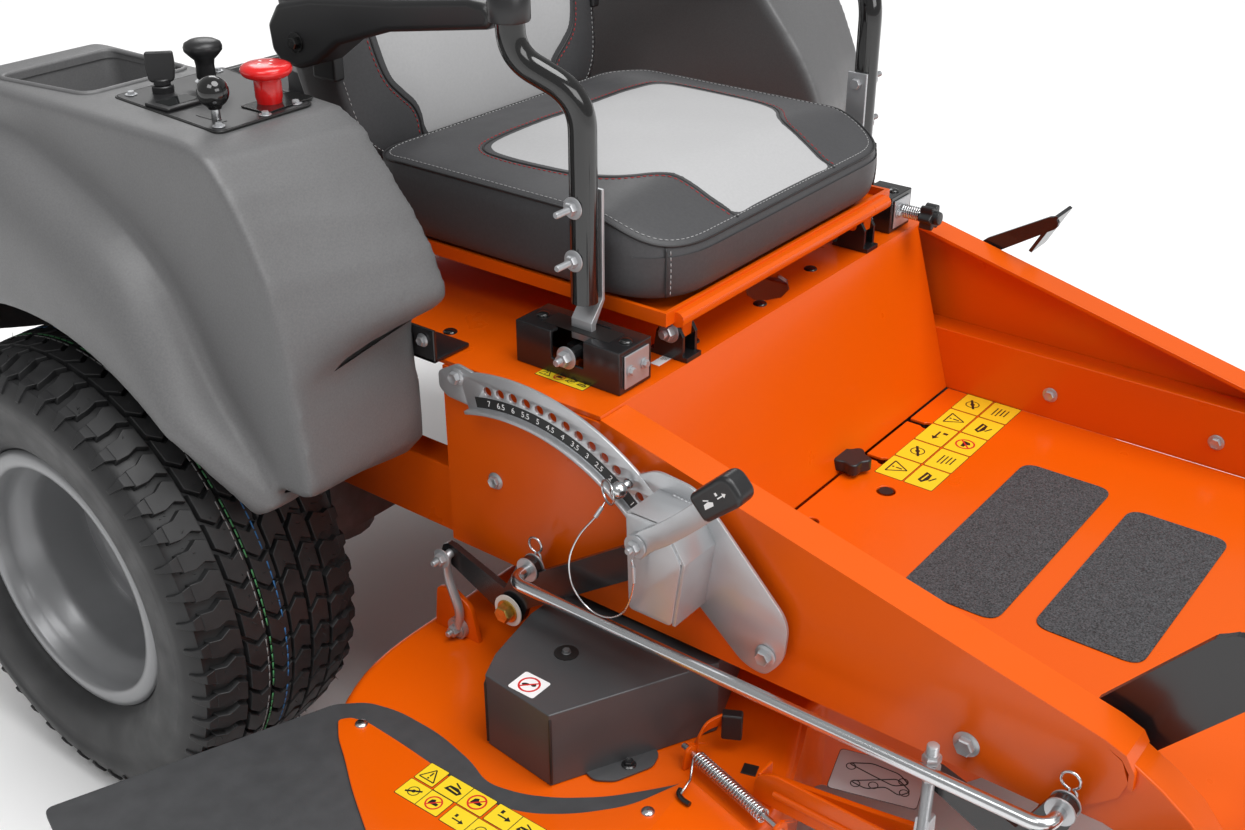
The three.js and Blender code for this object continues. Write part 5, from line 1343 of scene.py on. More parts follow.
# ------------------------------------------------------------------ height-of-cut quadrant, pin, release lever
def height_adjuster():
    n = 40
    outer = [arc_at(277, 47 + 60 * i / n) for i in range(n + 1)]
    inner = [arc_at(232, 107 - 60 * i / n) for i in range(n + 1)]
    face = rounded_poly(outer + inner, 1.2, 1)
    holes = [circle(*arc_at(257, 50.3 + 4.05 * i), 5.6) for i in range(13)]
    V, F = plate(face, holes, "x", -388, -384, 0.5)
    lip = [arc_at(235, 47 + 60 * i / n) for i in range(n + 1)] + [arc_at(231, 107 - 60 * i / n) for i in range(n + 1)]
    V2, F2 = plate(lip, [], "x", -396, -385, 0.5)
    V3, F3 = plate(rounded_poly([(-372, 578), (-372, 558), (-384, 550), (-420, 548), (-425, 590), (-400, 594)], 5, 4), [], "x", -387.8, -383.8, 0.4)
    low = [(-640, 540), (-668, 556), (-716, 552), (-740, 531), (-830, 440), (-826, 392), (-806, 366), (-780, 370), (-716, 424), (-676, 452), (-664, 500)]
    V4, F4 = plate(rounded_poly(low, [6, 10, 14, 14, 18, 14, 10, 12, 10, 6, 8], 6), [], "x", -387.6, -383.6, 0.5)
    side = [(-672, 536), (-716, 536), (-738, 500), (-728, 424), (-676, 424)]
    V5, F5 = plate(rounded_poly(side, [4, 8, 6, 5, 5], 4), [], "x", -442, -438, 0.5)
    V6, F6 = plate(rounded_poly([(-716, 536), (-720, 534), (-742, 500), (-732, 424), (-728, 424), (-738, 500)], 0.8, 2), [], "x", -440, -386, 0.4)
    V7, F7 = boxm(-440, -386, -716, -672, 532, 536)
    V8, F8 = cyl("x", 9, -386, -372.2, -385, 567, 20)
    V9, F9 = cyl("x", 11, -386, -372.2, -800, 384, 20)
    piece("look_quadrant", *merge((V, F), (V2, F2), (V3, F3), (V4, F4), (V5, F5), (V6, F6), (V7, F7), (V8, F8), (V9, F9)), ZINC, "chassis", angle=32, stands="height_quadrant")
    # weld beads
    for i, pts in enumerate(([(-389, -738, 500), (-389, -728, 426)], [(-439, -716, 534), (-439, -737, 500)], [(-389, -716, 534), (-389, -690, 536.5)])):
        V, F = tube([tuple(Vector(pts[0]).lerp(Vector(pts[1]), t)) for t in np.linspace(0, 1, 16)], [2.0 + 0.5 * math.sin(k * 2.4) for k in range(16)], 8)
        piece(f"bracket_weld_{i}", V, F, ZINC, "chassis", angle=60)
    # dark strip with the scale
    band = [arc_at(249.6, 49.5 + 54 * i / n) for i in range(n + 1)] + [arc_at(237.2, 103.5 - 54 * i / n) for i in range(n + 1)]
    piece("scale_strip", *prism(band, "x", -388.35, -387.9), PRINT_AND_PAINTED_SHADE, "chassis", angle=30)
    marks = []
    for i in range(13):
        d = 50.3 + 4.05 * i
        y, z = arc_at(243, d)
        t = math.radians(d)
        up = (0, -math.cos(t), math.sin(t))
        right = (0, -math.sin(t), -math.cos(t))
        marks.append(place(digits(["1", "1.5", "2", "2.5", "3", "3.5", "4", "4.5", "5", "5.5", "6", "6.5", "7"][i], 9.5), (-388.3, y, z), right, up))
    piece("scale_numbers", *merge(*marks), WHITE, "chassis", angle=30)
    # bolts of the quadrant
    put(flange_bolt(13, 8), (-388, -400, 579), (-1, 0, 0), ZINC, "chassis", "quadrant_bolt")
    put(flange_bolt(15, 9), (-388, -806, 392), (-1, 0, 0), ZINC, "chassis", "quadrant_bolt")
    put(hex_head(10, 5, 9, 1.4), (-388, -690, 470), (-1, 0, 0), ZINC, "chassis", "quadrant_bolt")
    # pin: shank, ball head and split ring
    y, z = arc_at(257, 54.35)
    V, F = cyl("x", 4.8, -398, -374, y, z, 20, 0.8)
    B = solid_lathe([(0, -412)] + [(9.2 * math.cos(t), -404 - 9.2 * math.sin(t)) for t in np.linspace(1.3, -0.9, 12)] + [(0, -396)], "x", (0, y, z), 28)
    piece("look_height_pin", *merge((V, F), B), STEEL, "height_pin", angle=50, stands="height_pin")
    ringc = [(-407 - 12.5 * math.cos(t) * 0.5, y + 11 - 12.5 * math.cos(t), z - 5 + 12.5 * math.sin(t)) for t in np.linspace(0, 2 * math.pi, 36)[:-1]]
    piece("pin_split_ring", *tube(ringc, 1.3, 8, closed=True), STEEL, "height_pin", angle=None)
    # release lever: flat steel strap and rounded grip
    mid = smooth_path([(0, -686, 500), (0, -700, 516), (0, -724, 535), (0, -757, 566), (0, -800, 611)], 8)
    c = [np.array(p[1:]) for p in mid]
    up, dn = [], []
    for i, q in enumerate(c):
        t = c[min(i + 1, len(c) - 1)] - c[max(i - 1, 0)]
        nn = np.array([-t[1], t[0]]) / np.linalg.norm(t) * 11.5
        up.append(tuple(q + nn))
        dn.append(tuple(q - nn))
    strap = plate(up + dn[::-1], [], "x", -449.5, -445, 0.6)
    hub = cyl("x", 12, -450.5, -442.3, -690, 508, 32, 0.8)
    piece("look_release_lever", *merge(strap, hub), ZINC, "release_lever", angle=35, stands="release_lever")
    d = np.array([-0.72, 0.69])
    nn = np.array([-0.69, -0.72])
    a, b = np.array([-764, 580]), np.array([-806, 619])
    grip = [tuple(a + nn * 15.5), tuple(a - nn * 15.5), tuple(b - nn * 17), tuple(b + nn * 17)]
    V, F = prism(rounded_poly(grip, [7, 7, 14, 14], 6), "x", -458, -432)
    piece("release_grip", V, F, BLACK_PLASTIC, "release_lever", bevel=7, seg=4, bevel_angle=35)
    m = []
    for k in (-1, 1):
        q = (a + b) / 2 + d * 10 * k
        for kind in ("arrow" if k > 0 else "deck",):
            m += [place(p, (-458.1, q[0], q[1]), (0, -0.72, 0.69), (0, 0.69, 0.72)) for _, p in icon(kind, 0, 0, 6.5, 0.0)]
    piece("release_marks", *merge(*m), WHITE, "release_lever", angle=30)
    put(hex_head(13, 6.5, 12.5, 1.6, 5), (-450.6, -690, 508), (-1, 0, 0), ZINC, "release_lever", "release_bolt")
    # wire lanyard with two crimps
    loop = smooth_path([(-412, y + 11, z - 14), (-424, -622, 505), (-440, -611, 484), (-450, -606, 458), (-453, -612, 430), (-453, -632, 411), (-453, -656, 410), (-453, -676, 424), (-453.5, -687, 448), (-454.5, -692, 476), (-456, -690, 496)], 7)
    V, F = tube(loop, 1.0, 10)
    wire = piece("pin_lanyard_wire", V, F, STEEL, "chassis", angle=None, stands="pin_lanyard")
    rows = [P(*p) for p in loop]
    span = sum((Vector(a) - Vector(b)).length for a, b in zip(rows, rows[1:]))
    for i, (p, q) in enumerate(((loop[3], loop[8]), (loop[-10], loop[-4]))):
        piece(f"lanyard_crimp_{i}", *tube([p, q], 2.3, 10), ZINC, "chassis", angle=40)
    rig.cord(wire, rows[0], round(span, 4), 0.002, "object", stiffness="stiff", lay="hanging", path=rows)


# ------------------------------------------------------------------ lift rods, links and their hardware
def linkage():
    for side, s in (("r", -1), ("l", 1)):
        f = (lambda q: q) if s < 0 else mirror
        line = route([(-396, -511, 384), (-436, -511, 384), (-436, -1124, 384), (-396, -1124, 384)], 18, 10)
        name = "lift_rod_right" if s < 0 else "lift_rod_left"
        if name not in NODES:
            name = "lift_rod_" + side
        piece("look_" + name, *f(tube(line, 7.0, 24)), STEEL, NODES[name]["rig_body"], angle=45, stands=name)
    rear, front = NODES["lift_shaft_rear"]["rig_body"], NODES["lift_shaft_front"]["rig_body"]
    for i, (y, body) in enumerate(((-511, rear), (-1124, front))):
        for x in (-408.4, -398.2):
            V, F = solid_lathe([(0, 0), (14, 0), (14.4, 0.4), (14.4, 1.6), (14, 2.0), (0, 2.0)], "z", (0, 0, 0), 32)
            put((V, F), (x, y, 384), (-1 if x < -400 else 1, 0, 0), ZINC, body, "rod_washer")
        zz = 384
        pinpath = [(-394, y, zz - 12), (-394, y, zz + 16)] + [(-394, y + 9 * math.sin(t), zz + 25 - 9 * math.cos(t)) for t in np.linspace(0.3, 2 * math.pi - 0.4, 16)] + [(-394, y - 7, zz + 14), (-394, y - 8.5, zz + 4), (-394, y - 7, zz - 8)]
        piece(f"hairpin_{i}", *tube(pinpath, 1.5, 8), STEEL, body, angle=60)
    # gold bolt and white washer on the end of the rear cross shaft
    V, F = solid_lathe([(0, 0), (19, 0), (19.4, 0.4), (19.4, 2.0), (0, 2.0)], "z", (0, 0, 0), 36)
    put((V, F), (-412.2, -484, 320), (-1, 0, 0), NYLON, rear, "shaft_washer")
    put(hex_head(19, 10, 14, 2.0, 0), (-414.2, -484, 320), (-1, 0, 0), GOLD, rear, "shaft_bolt")
    put(hex_head(19, 10, 16, 2.0, 0), (-412.2, -1097, 320), (-1, 0, 0), ZINC, front, "shaft_bolt")
    # rear hanger: a bent rod hooked over the lug's bolt
    hb = NODES["hanger_rear"]["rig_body"]
    line = route([(-396, -392, 357), (-415, -392, 357), (-415, -393, 330), (-415, -410, 285), (-415, -404, 262)], [8, 12, 14], 8)
    eye = lathe([(7.0, -3), (14.0, -3), (14.0, 3), (7.0, 3)], "x", (-411.4, -401, 258), 28)
    piece("look_hanger_rear", *merge(tube(line, 5.4, 18), eye), ZINC, hb, angle=45, stands="hanger_rear")
    put(hex_head(13, 8, 11, 1.6, 6), (-414.6, -401, 258), (-1, 0, 0), ZINC, hb, "hanger_bolt")
    put(hex_head(13, 7, 12, 1.6, 8), (-420.4, -392, 357), (-1, 0, 0), ZINC, hb, "hanger_bolt")
    # front hanger: threaded stud with two nuts, then a flattened link
    hb = NODES["hanger_front"]["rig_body"]
    stud = solid_lathe([(0, 300)] + [p for k in range(52) for p in ((6.0, 300 + 2 * k), (5.2, 301 + 2 * k))] + [(0, 404.2)], "z", (-418.6, -1005, 0), 18)
    low = prism(rounded_poly([(-1014, 262), (-1022, 248), (-1004, 246), (-996, 262), (-998, 316), (-1012, 316)], 4, 4), "x", -421.5, -408.4)
    pin = cyl("x", 5.8, -420, -394, -1005, 357, 18)
    piece("look_hanger_front", *merge(stud, low, pin), ZINC, hb, angle=35, stands="hanger_front")
    for z in (364, 373.5, 384):
        put(hex_head(16, 8.5), (-418.6, -1005, z), (0, 0, 1), ZINC, hb, "hanger_nut")
    put(hex_head(13, 8, 11, 1.6, 6), (-414.6, -1014, 258), (-1, 0, 0), ZINC, hb, "hanger_bolt")
    # bolts on the panel and rail
    for at, af, h in (((-372, -1018, 379), 17, 9), ((-372, -436, 453), 13, 7)):
        put(flange_bolt(af, h), (at[0] - 0.2, at[1], at[2]), (-1, 0, 0), ZINC, "chassis", "panel_bolt")


# ------------------------------------------------------------------ cutter deck
def deck():
    SP = [(-451, -600), (0, -720), (451, -600)]

    def inside(x, y, g):
        if any((x - a) ** 2 + (y - b) ** 2 < (255 - g) ** 2 for a, b in SP):
            return True
        return (abs(x) < 451 and -640 < y < -345 - g) or (abs(x) < 300 and -800 + g < y < -600)

    def outline(g, n=260):
        out = []
        for i in range(n):
            t = 2 * math.pi * i / n
            c, s_ = math.cos(t), math.sin(t)
            r = 760.0
            while r > 50 and not inside(r * c, -620 + r * s_, g):
                r -= 2.0
            lo, hi = r, r + 2.0
            for _ in range(10):
                m_ = (lo + hi) / 2
                if inside(m_ * c, -620 + m_ * s_, g):
                    lo = m_
                else:
                    hi = m_
            out.append(lo)
        r = np.array(out)
        for _ in range(3):
            r = np.minimum(r, (np.roll(r, 1) + 2 * r + np.roll(r, -1)) / 4 + 0.0)
        return [(r[i] * math.cos(2 * math.pi * i / n), -620 + r[i] * math.sin(2 * math.pi * i / n)) for i in range(n)]

    rings = []
    for g, z in [(0, 115), (0, 232)] + [(13 - 13 * math.cos(t), 232 + 13 * math.sin(t)) for t in np.linspace(0.2, math.pi / 2, 7)]:
        rings.append([(x, y, z) for x, y in outline(g)])
    n = len(rings[0])
    top = len(rings) - 1
    for g, z in ((16, 240), (3.5, 230), (3.5, 115)):
        rings.append([(x, y, z) for x, y in outline(g)])
    V = [p for r in rings for p in r]
    F = ring_faces(n, top + 1)
    F += [tuple(range(top * n, (top + 1) * n))]
    k = top + 1
    F += [tuple(range((k + 1) * n - 1, k * n - 1, -1))]
    for j in range(k, k + 2):
        for i in range(n):
            a, b = j * n + i, j * n + (i + 1) % n
            F.append((b, a, a + n, b + n))
    m = (k + 2) * n
    F += [(m + i, m + (i + 1) % n, (i + 1) % n, i) for i in range(n)]
    o = scratch("tmp_deck", (V, F))
    hull_ = [(-760, -500, 132), (-760, -860, 132), (-560, -500, 132), (-470, -860, 132), (-760, -500, 228), (-760, -860, 228), (-560, -500, 228), (-470, -860, 228)]
    difference(o, scratch("c", (hull_, [(0, 1, 3, 2), (4, 6, 7, 5), (0, 4, 5, 1), (2, 3, 7, 6), (0, 2, 6, 4), (1, 5, 7, 3)])))
    me = o.data
    me.materials.clear()
    finish_mesh(me, ORANGE, 40)
    o.name = me.name = "look_deck_shell"
    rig.ride(o, "deck")
    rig.replaces(o, "deck_shell")
    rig.slot(o, "powder_orange")
    lugs = [([(-430, 244), (-360, 244), (-366, 300), (-392, 306), (-420, 290)], "r"), ([(-830, 244), (-830, 262), (-960, 282), (-1010, 292), (-1034, 280), (-1034, 250), (-1000, 236), (-850, 236)], "f")]
    for pts, tag in lugs:
        V, F = plate(rounded_poly(pts, [1, 1, 6, 8, 8] if tag == "r" else [1, 3, 30, 10, 10, 8, 20, 1], 6), [], "x", -407.8, -401, 1.2)
        piece(f"deck_lug_{tag}_right", V, F, ORANGE, "deck", angle=35)
        V, F = mirror((V, F))
        piece(f"deck_lug_{tag}_left", V, F, ORANGE, "deck", angle=35)
    # folded bracket in front with a pressed rib
    V, F = plate(rounded_poly([(-826, 246), (-826, 276), (-846, 288), (-984, 286), (-1000, 270), (-1000, 246)], [2, 12, 10, 10, 12, 2], 6), [], "x", -430, -426, 1.2)
    piece("front_bracket", *merge((V, F)), ORANGE, "deck", angle=35)
    V, F = prism([(-428, -828), (-404, -828), (-404, -832), (-428, -832)], "z", 246, 280)
    piece("front_bracket_end", V, F, ORANGE, "deck", bevel=1.4)
    V, F = tube(route([(-430.5, -850, 266), (-430.5, -975, 264)], 1), 4.0, 12)
    piece("front_bracket_rib", V, F, ORANGE, "deck", angle=50)
    # chute flap, orange tongue over it
    flap_pts = [(-591, -383), (-566, -410), (-556, -448), (-556, -509), (-568, -566), (-582, -600), (-572, -640), (-553, -674), (-523, -710), (-489, -738), (-472, -751), (-456, -762), (-488, -872), (-640, -900), (-800, -860), (-880, -760), (-905, -560), (-900, -330), (-880, -272)]
    V, F = plate(rounded_poly(flap_pts, [8, 12, 16, 22, 12, 16, 16, 16, 16, 8, 5, 3, 3, 30, 40, 50, 60, 20, 10], 6), [], "z", 245.4, 252, 1.2)
    piece("look_chute_deflector", V, F, RUBBER, "chute", angle=40, stands="chute_deflector")
    tongue = [(-609, -408), (-598, -416), (-592, -436), (-594, -488), (-599, -551), (-606, -612), (-594, -662), (-564, -702), (-522, -738), (-453, -764), (-483, -869), (-600, -880), (-700, -830), (-760, -720), (-745, -620), (-705, -550), (-674, -498), (-647, -459), (-629, -430)]
    V, F = plate(rounded_poly(tongue, [5, 5, 8, 24, 24, 22, 22, 20, 20, 3, 3, 20, 40, 40, 40, 30, 20, 14, 10], 6), [], "z", 252.2, 255, 1.1)
    piece("look_deflector_plate", V, F, ORANGE, "chute", angle=50, stands="deflector_plate")
    for at in ((-599, -434, 255), (-518, -758, 255), (-692, -612, 255)):
        put(dome(7.2, 3.6), at, (0, 0, 1), STEEL, "chute", "flap_rivet")
    # warning pictograms on the tongue
    u, v = (0, -1, 0), (1, 0, 0)
    z = 255.0
    sticker("flap_label_a", (-610.5, -550, z), u, v, 25, 26, [("warn", 0, -1, 9)], "chute")
    sticker("flap_label_b", (-612, -598, z), u, v, 64, 26, [("deck", -15, 0, 10), ("split", 0, 0, 0), ("no", 16, 0, 10.5)], "chute")
    sticker("flap_label_c", (-639, -566, z), u, v, 58, 25, [("blade", -14, 0, 9), ("split", 0, 0, 0), ("no", 14, 0, 9.5)], "chute")
    sticker("flap_label_d", (-612, -664, z), u, v, 60, 26, [("arrow", -14, 0, 9), ("split", 0, 0, 0), ("deck", 14, 0, 9)], "chute")
    sticker("flap_label_e", (-640, -630, z), u, v, 60, 25, [("arrow", -14, -3, 8), ("split", 0, 0, 0), ("blade", 14, 0, 9)], "chute")
    # hinge pin with torsion spring
    A, B = Vector((-426, -744, 262.5)), Vector((-470, -892, 262.5))
    d = (B - A).normalized()
    V, F = tube([tuple(A - d * 10), tuple(B)], 3.6, 16)
    piece("flap_hinge_pin", V, F, STEEL, "deck", angle=45)
    side_ = d.cross(Vector((0, 0, 1))).normalized()
    up_ = side_.cross(d)
    turns, per = 26, 14
    coil = []
    for i in range(turns * per + 1):
        t = 2 * math.pi * i / per
        coil.append(tuple(A + d * (14 + 4.0 * i / per) + side_ * 7.0 * math.cos(t) + up_ * 7.0 * math.sin(t)))
    leg = [(-481, -772, 259), (-462, -770, 262.5)]
    V, F = tube(leg + coil, 1.25, 8)
    piece("flap_spring", V, F, STEEL, "deck", angle=None)
    V, F = tube(smooth_path([(-476, -768, 259.5), (-482, -770, 258.6), (-486, -778, 258.2), (-487, -787, 258.2)], 5), 2.9, 12)
    piece("spring_cap", V, F, GLOSS_BLACK, "deck", angle=60)
    for i, k in enumerate((4, 142)):
        c = A + d * k
        ear = rounded_poly([(-9, -17), (12, -17), (9, 7), (0, 11), (-8, 7)], [1, 1, 4, 5, 4], 5)
        pts = plate(ear, [], "z", -2, 2, 0.8)
        V, F = place(pts, tuple(c), tuple(side_), (0, 0, 1))
        piece(f"hinge_ear_{i}", V, F, ORANGE, "deck", angle=40)
    # stop arm with its bumper
    arm = [(-424, -750, 256), (-421, -748, 272), (-408, -750, 284), (-392, -758, 288), (-381, -765, 286)]
    path = smooth_path(arm, 6)
    V = []
    for p in path:
        for dx, dz in ((-1, -9), (1, -9), (1, 9), (-1, 9)):
            V.append((p[0] + dx * 0.9, p[1] + dx * 1.6 - 0.35 * dz, p[2] + dz * (0.9 if p[0] < -415 else 1)))
    F = ring_faces(4, len(path)) + [(3, 2, 1, 0), tuple(range(len(V) - 4, len(V)))]
    piece("stop_arm", V, F, ORANGE, "deck", bevel=0.8)
    V, F = boxm(-391, -378, -780, -758, 266, 298)
    piece("stop_bumper", *turn((V, F), (0, 0, 1), 0.5, (-385, -769, 280)), BLACK_PLASTIC, "deck", bevel=2.4, seg=3)
    V, F = boxm(-404, -388, -808, -792, 245.1, 246.4)
    piece("square_plug", *turn((V, F), (0, 0, 1), 0.3, (-396, -800, 246)), PRINT_AND_PAINTED_SHADE, "deck", bevel=0.4)
    # generic belt diagram
    sticker("belt_diagram", (-326, -912, 245.0), (0.28, -0.96, 0), (0.96, 0.28, 0), 92, 62, [], "deck", base=GREY_LIGHT, r=5, frame=True)
    loops = [[(-34, 12), (-10, 20), (20, 14), (32, 2), (18, -6), (-6, 2)], [(-26, -14), (-8, -20), (10, -10), (26, -18), (36, -8), (20, 6)]]
    ps = [tube([(x, y, 0.4) for x, y in rounded_poly(lp, 5, 5)], 0.7, 6, closed=True) for lp in loops]
    ps += [annulus(x, y, 4.2, 5.4, 0.35) for x, y in ((-30, 8), (26, 4), (-2, -12), (30, -12), (-20, -16))]
    V, F = place(merge(*ps), (-326, -912, 245.0), (0.28, -0.96, 0), (0.96, 0.28, 0))
    piece("belt_diagram_lines", V, F, PRINT_AND_PAINTED_SHADE, "deck", angle=60)
    # belt cover: tab with its screw, corner slots as painted shade, sole sign, hole as painted shade
    V, F = plate(rounded_poly([(-504, -664), (-509, -682), (-497, -700), (-455, -718), (-437, -713), (-428, -700)], [1, 6, 6, 6, 6, 1], 5), [], "z", 246, 248.4, 0.5)
    piece("cover_tab", V, F, COVER, "deck", angle=40)
    put(flange_bolt(10, 6), (-469, -697, 248.4), (0, 0, 1), BLACK, "deck", "cover_screw")
    sticker("sole_sign", (-516, -604, 338.0), (0, -1, 0), (1, 0, 0), 34, 30, [("sole", 0, 0, 12)], "deck", base=WHITE, r=3, frame=False)
    # the corner slots are thin black tubes: painted shade in the slots
    for i, (x, y) in enumerate(((-541, -651), (-531, -556))):
        V, F = tube([(x + 0.3, y - (0.6 if i == 0 else 0.0), 250), (x + 0.3, y - (0.6 if i == 0 else 0.0), 326), (x + 4, y + 2.0 * (1 if i == 0 else -1), 337.2)], 1.8, 10)
        piece(f"cover_slot_{i}", V, F, PRINT_AND_PAINTED_SHADE, "deck", angle=60)
    # the hole round the spindle nut is a black disc: painted shade inside the hole
    V, F = cyl("z", 13.2, 330, 338.15, -451, -600, 36)
    piece("cover_hole", V, F, PRINT_AND_PAINTED_SHADE, "deck", angle=30)
    put(hex_head(8, 3, 5, 1), (-451, -600, 338.2), (0, 0, 1), ALLOY, "deck", "cover_nut")
    # anti-scalp roller in front
    for sx in (-1, 1):
        V, F = solid_lathe([(0, -48), (20, -48), (50, -40), (60, -22), (62, 0), (60, 22), (50, 40), (20, 48), (0, 48)], "x", (0, 0, 0), 40)
        V = [(p[0] + sx * 60, p[1] - 1015, p[2] + 150) for p in V]
        piece(f"deck_roller_{'right' if sx < 0 else 'left'}", V, F, BLACK_PLASTIC, "deck", angle=50)
    V, F = merge(boxm(-4, 4, -1030, -950, 130, 180), cyl("x", 8, -118, 118, -1015, 150, 16))
    piece("roller_bracket", V, F, ORANGE, "deck", bevel=1)


GREY_LIGHT = material("silver_print", (0.52, 0.52, 0.53), 0.4)


# ------------------------------------------------------------------ floor, platform and the far side
def floor_and_platform():
    for i, pts in enumerate(([(-145, -830), (195, -830), (195, -945), (-145, -945)], [(-126, -978), (167, -978), (167, -1097), (-126, -1097)])):
        V, F = prism(rounded_poly(pts, 20, 8), "z", 353.0, 354.5)
        piece(f"grip_pad_{i}", V, F, GRIT, "chassis", bevel=0.4)
    for i in range(5):
        for j in range(2):
            kinds = ["warn", "no", "blade", "deck", "arrow", "lines"]
            sticker(f"floor_label_{i}{j}", (85 + 54 * i, -706 - 41 * j, 353.0), (-1, 0, 0), (0, -1, 0), 51, 38, [(kinds[(i * 2 + j * 3) % 6], 0, 0, 13)], "chassis", r=2)
    lobes = [(22 + 3.2 * math.cos(5 * t), t) for t in np.linspace(0, 2 * math.pi, 60)[:-1]]
    knob = prism([(44 + r * math.cos(t), -661 + r * math.sin(t)) for r, t in lobes], "z", 358, 374)
    piece("floor_knob", *merge(knob, cyl("z", 12, 353, 360, 44, -661, 24)), BLACK_PLASTIC, "chassis", bevel=2.5, seg=3)
    # the hole in the floor plate is a thin black disc: painted shade in the hole
    V, F = cyl("z", 9, 352.9, 353.25, 26, -721, 28)
    piece("floor_hole", V, F, PRINT_AND_PAINTED_SHADE, "chassis", angle=30)
    for x, y in ((210, -549), (-164, -555), (-313, -320), (-30, -560), (100, -552)):
        put(dome(8.5, 3.6), (x, y, 582), (0, 0, 1), GLOSS_BLACK, "chassis", "platform_bolt")
    for x, z in ((355, 392), (280, 389), (-250, 390)):
        put(flange_bolt(13, 7), (x, -584.6, z + 10), (0, -1, 0), ZINC, "chassis", "front_bolt")
    for y, z in ((-802, 388), (-1022, 390)):
        put(flange_bolt(13, 7), (327.6, y, z), (-1, 0, 0), ZINC, "chassis", "rail_bolt")
        put(flange_bolt(13, 7), (-327.6, y, z), (1, 0, 0), ZINC, "chassis", "rail_bolt")
    sticker("platform_label_a", (-326, -500, 582.0), (0, -1, 0), (1, 0, 0), 66, 19, [("warn", -24, 0, 6.5), ("no", -6, 0, 7), ("blade", 10, 0, 6.5), ("deck", 25, 0, 6)], "chassis", r=1.2)
    sticker("platform_label_b", (-220, -557, 582.0), (-1, 0, 0), (0, -1, 0), 38, 12, [("lines", 0, 0, 5)], "chassis", base=WHITE, r=1, frame=False)
    # seat hinge pivot bolts
    for s in (-1, 1):
        put(hex_head(17, 8, 13, 1.8, 5), (s * 216.4, -560, 615), (s, 0, 0), ZINC, "chassis", "hinge_bolt")
    # open slot, drawn as a thin black sheet of painted shade, and zinc end plate of the lever housings
    for s in (-1, 1):
        V, F = boxm(s * 281, s * 309, -548, -456, 631.6, 632.3)
        piece(f"housing_slot_{'right' if s < 0 else 'left'}", V, F, PRINT_AND_PAINTED_SHADE, "chassis", angle=30)
        V, F = boxm(min(s * 274, s * 316), max(s * 274, s * 316), -575.4, -573.2, 588, 626)
        piece(f"housing_end_{'right' if s < 0 else 'left'}", V, F, ZINC, "chassis", bevel=0.8)
        for k in (-1, 1):
            put(hex_head(8, 4, 6.5, 1), (s * 295 + k * 12, -575.6, 607), (0, -1, 0), ZINC, "chassis", "housing_screw")
    # fender bracket beside the quadrant
    V, F = merge(boxm(-386, -330, -366, -300, 583, 588), boxm(-386, -381, -366, -300, 583, 622))
    piece("fender_bracket", V, F, BLACK, "chassis", bevel=1.4)
    for y in (-350, -318):
        put(flange_bolt(10, 6), (-386.4, y, 608), (-1, 0, 0), ZINC, "chassis", "bracket_bolt")
    # far side: spring and star knob on the front end of the left lever housing
    coil = [(296 + 8 * math.cos(t), -577 - 26 * t / (2 * math.pi * 8), 608 + 8 * math.sin(t)) for t in np.linspace(0, 2 * math.pi * 8, 8 * 14)]
    V, F = merge(tube(coil, 1.3, 8), tube([(296, -575, 608), (296, -606, 608)], 4, 14))
    piece("side_spring", V, F, STEEL, "chassis", angle=None)
    star = [(296 + (15.5 + 2.6 * math.cos(6 * t)) * math.cos(t), 608 + (15.5 + 2.6 * math.cos(6 * t)) * math.sin(t)) for t in np.linspace(0, 2 * math.pi, 73)[:-1]]
    V, F = merge(prism(star, "y", -624, -606), cyl("y", 9, -631, -620, 296, 608, 24))
    piece("side_knob", V, F, BLACK_PLASTIC, "chassis", bevel=2, seg=3)
    # fuel cap with grip ridges, turning with its body
    prof = [(0, 835), (29, 835), (29, 857), (41, 857.5), (42, 860), (42, 876), (39, 880), (30, 880.8), (0, 880.8)]
    ridges = [turn(boxm(40.6, 42.6, -1.6, 1.6, 861, 876), (0, 0, 1), 2 * math.pi * i / 30, (0, 0, 0)) for i in range(30)]
    V, F = merge(solid_lathe(prof, "z", (480, 40, 0), 60), *[([(p[0] + 480, p[1] + 40, p[2]) for p in r[0]], r[1]) for r in ridges])
    piece("look_fuel_cap", V, F, BLACK_PLASTIC, "fuel_cap", angle=40, stands="fuel_cap")


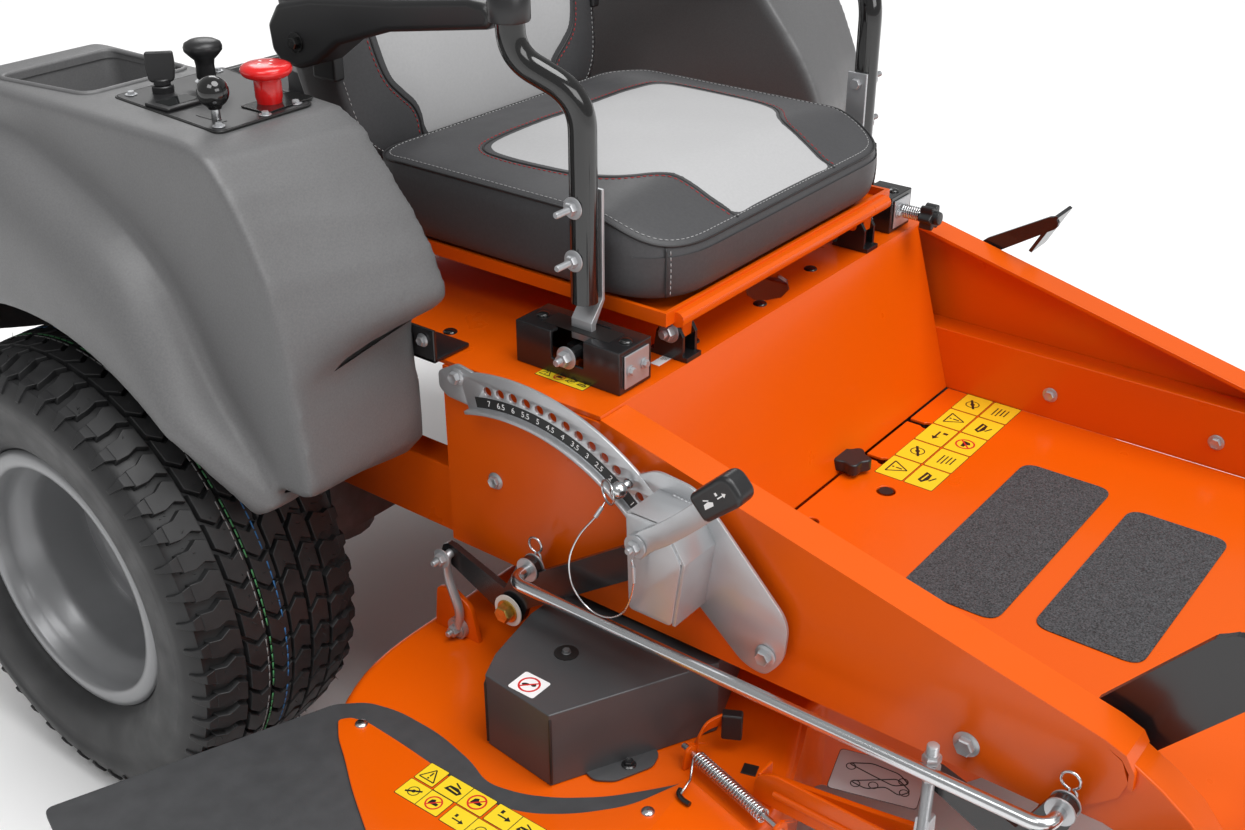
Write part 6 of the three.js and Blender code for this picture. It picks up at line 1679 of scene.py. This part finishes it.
refine("rear_frame", BLACK, 1.2, 2)
height_adjuster()
linkage()
deck()
floor_and_platform()


# ------------------------------------------------------------------ studio
def studio():
    w = bpy.data.worlds.new("studio")
    SCENE.world = w
    w.use_nodes = True
    bg = w.node_tree.nodes["Background"]
    bg.inputs["Color"].default_value = (1.0, 1.0, 1.0, 1)
    bg.inputs["Strength"].default_value = 0.34
    me = bpy.data.meshes.new("floor")
    s = 30.0
    me.from_pydata([(-s, -s, -0.0005), (s, -s, -0.0005), (s, s, -0.0005), (-s, s, -0.0005)], [], [(0, 1, 2, 3)])
    f = bpy.data.objects.new("floor", me)
    m = material("pale_floor", (0.95, 0.95, 0.95), 0.7, spec=0.25)
    me.materials.append(m)
    SCENE.collection.objects.link(f)
    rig.stage(f)

    def area(name, loc, target, size, size_y, power, colour=(1, 1, 1)):
        L = bpy.data.lights.new(name, "AREA")
        L.shape, L.size, L.size_y, L.energy, L.color = "RECTANGLE", size, size_y, power, colour
        o = bpy.data.objects.new(name, L)
        o.location = loc
        d = Vector(target) - Vector(loc)
        o.rotation_euler = d.to_track_quat("-Z", "Y").to_euler()
        SCENE.collection.objects.link(o)

    area("key", (-2.2, -0.6, 3.4), (0, 0, 0.5), 1.6, 1.2, 28)
    area("front", (-0.6, -4.0, 2.6), (0, -0.2, 0.5), 2.4, 1.4, 38)
    area("back", (2.4, 2.6, 3.0), (0, 0, 0.6), 2.4, 1.6, 40)
    sun = bpy.data.lights.new("sun", "SUN")
    sun.energy, sun.angle = 2.35, math.radians(40)
    so = bpy.data.objects.new("sun", sun)
    so.rotation_euler = Vector((-0.10, 0.42, -1.0)).to_track_quat("-Z", "Y").to_euler()
    SCENE.collection.objects.link(so)
    SCENE.view_settings.view_transform = "Standard"
    SCENE.view_settings.look = "None"
    SCENE.view_settings.exposure = 0.0


studio()
VIS_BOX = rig.bounds()
with open("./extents.json", "w") as fh:
    json.dump({"cad": [list(CAD_BOX[0]), list(CAD_BOX[1])], "visual": [list(VIS_BOX[0]), list(VIS_BOX[1])]}, fh)
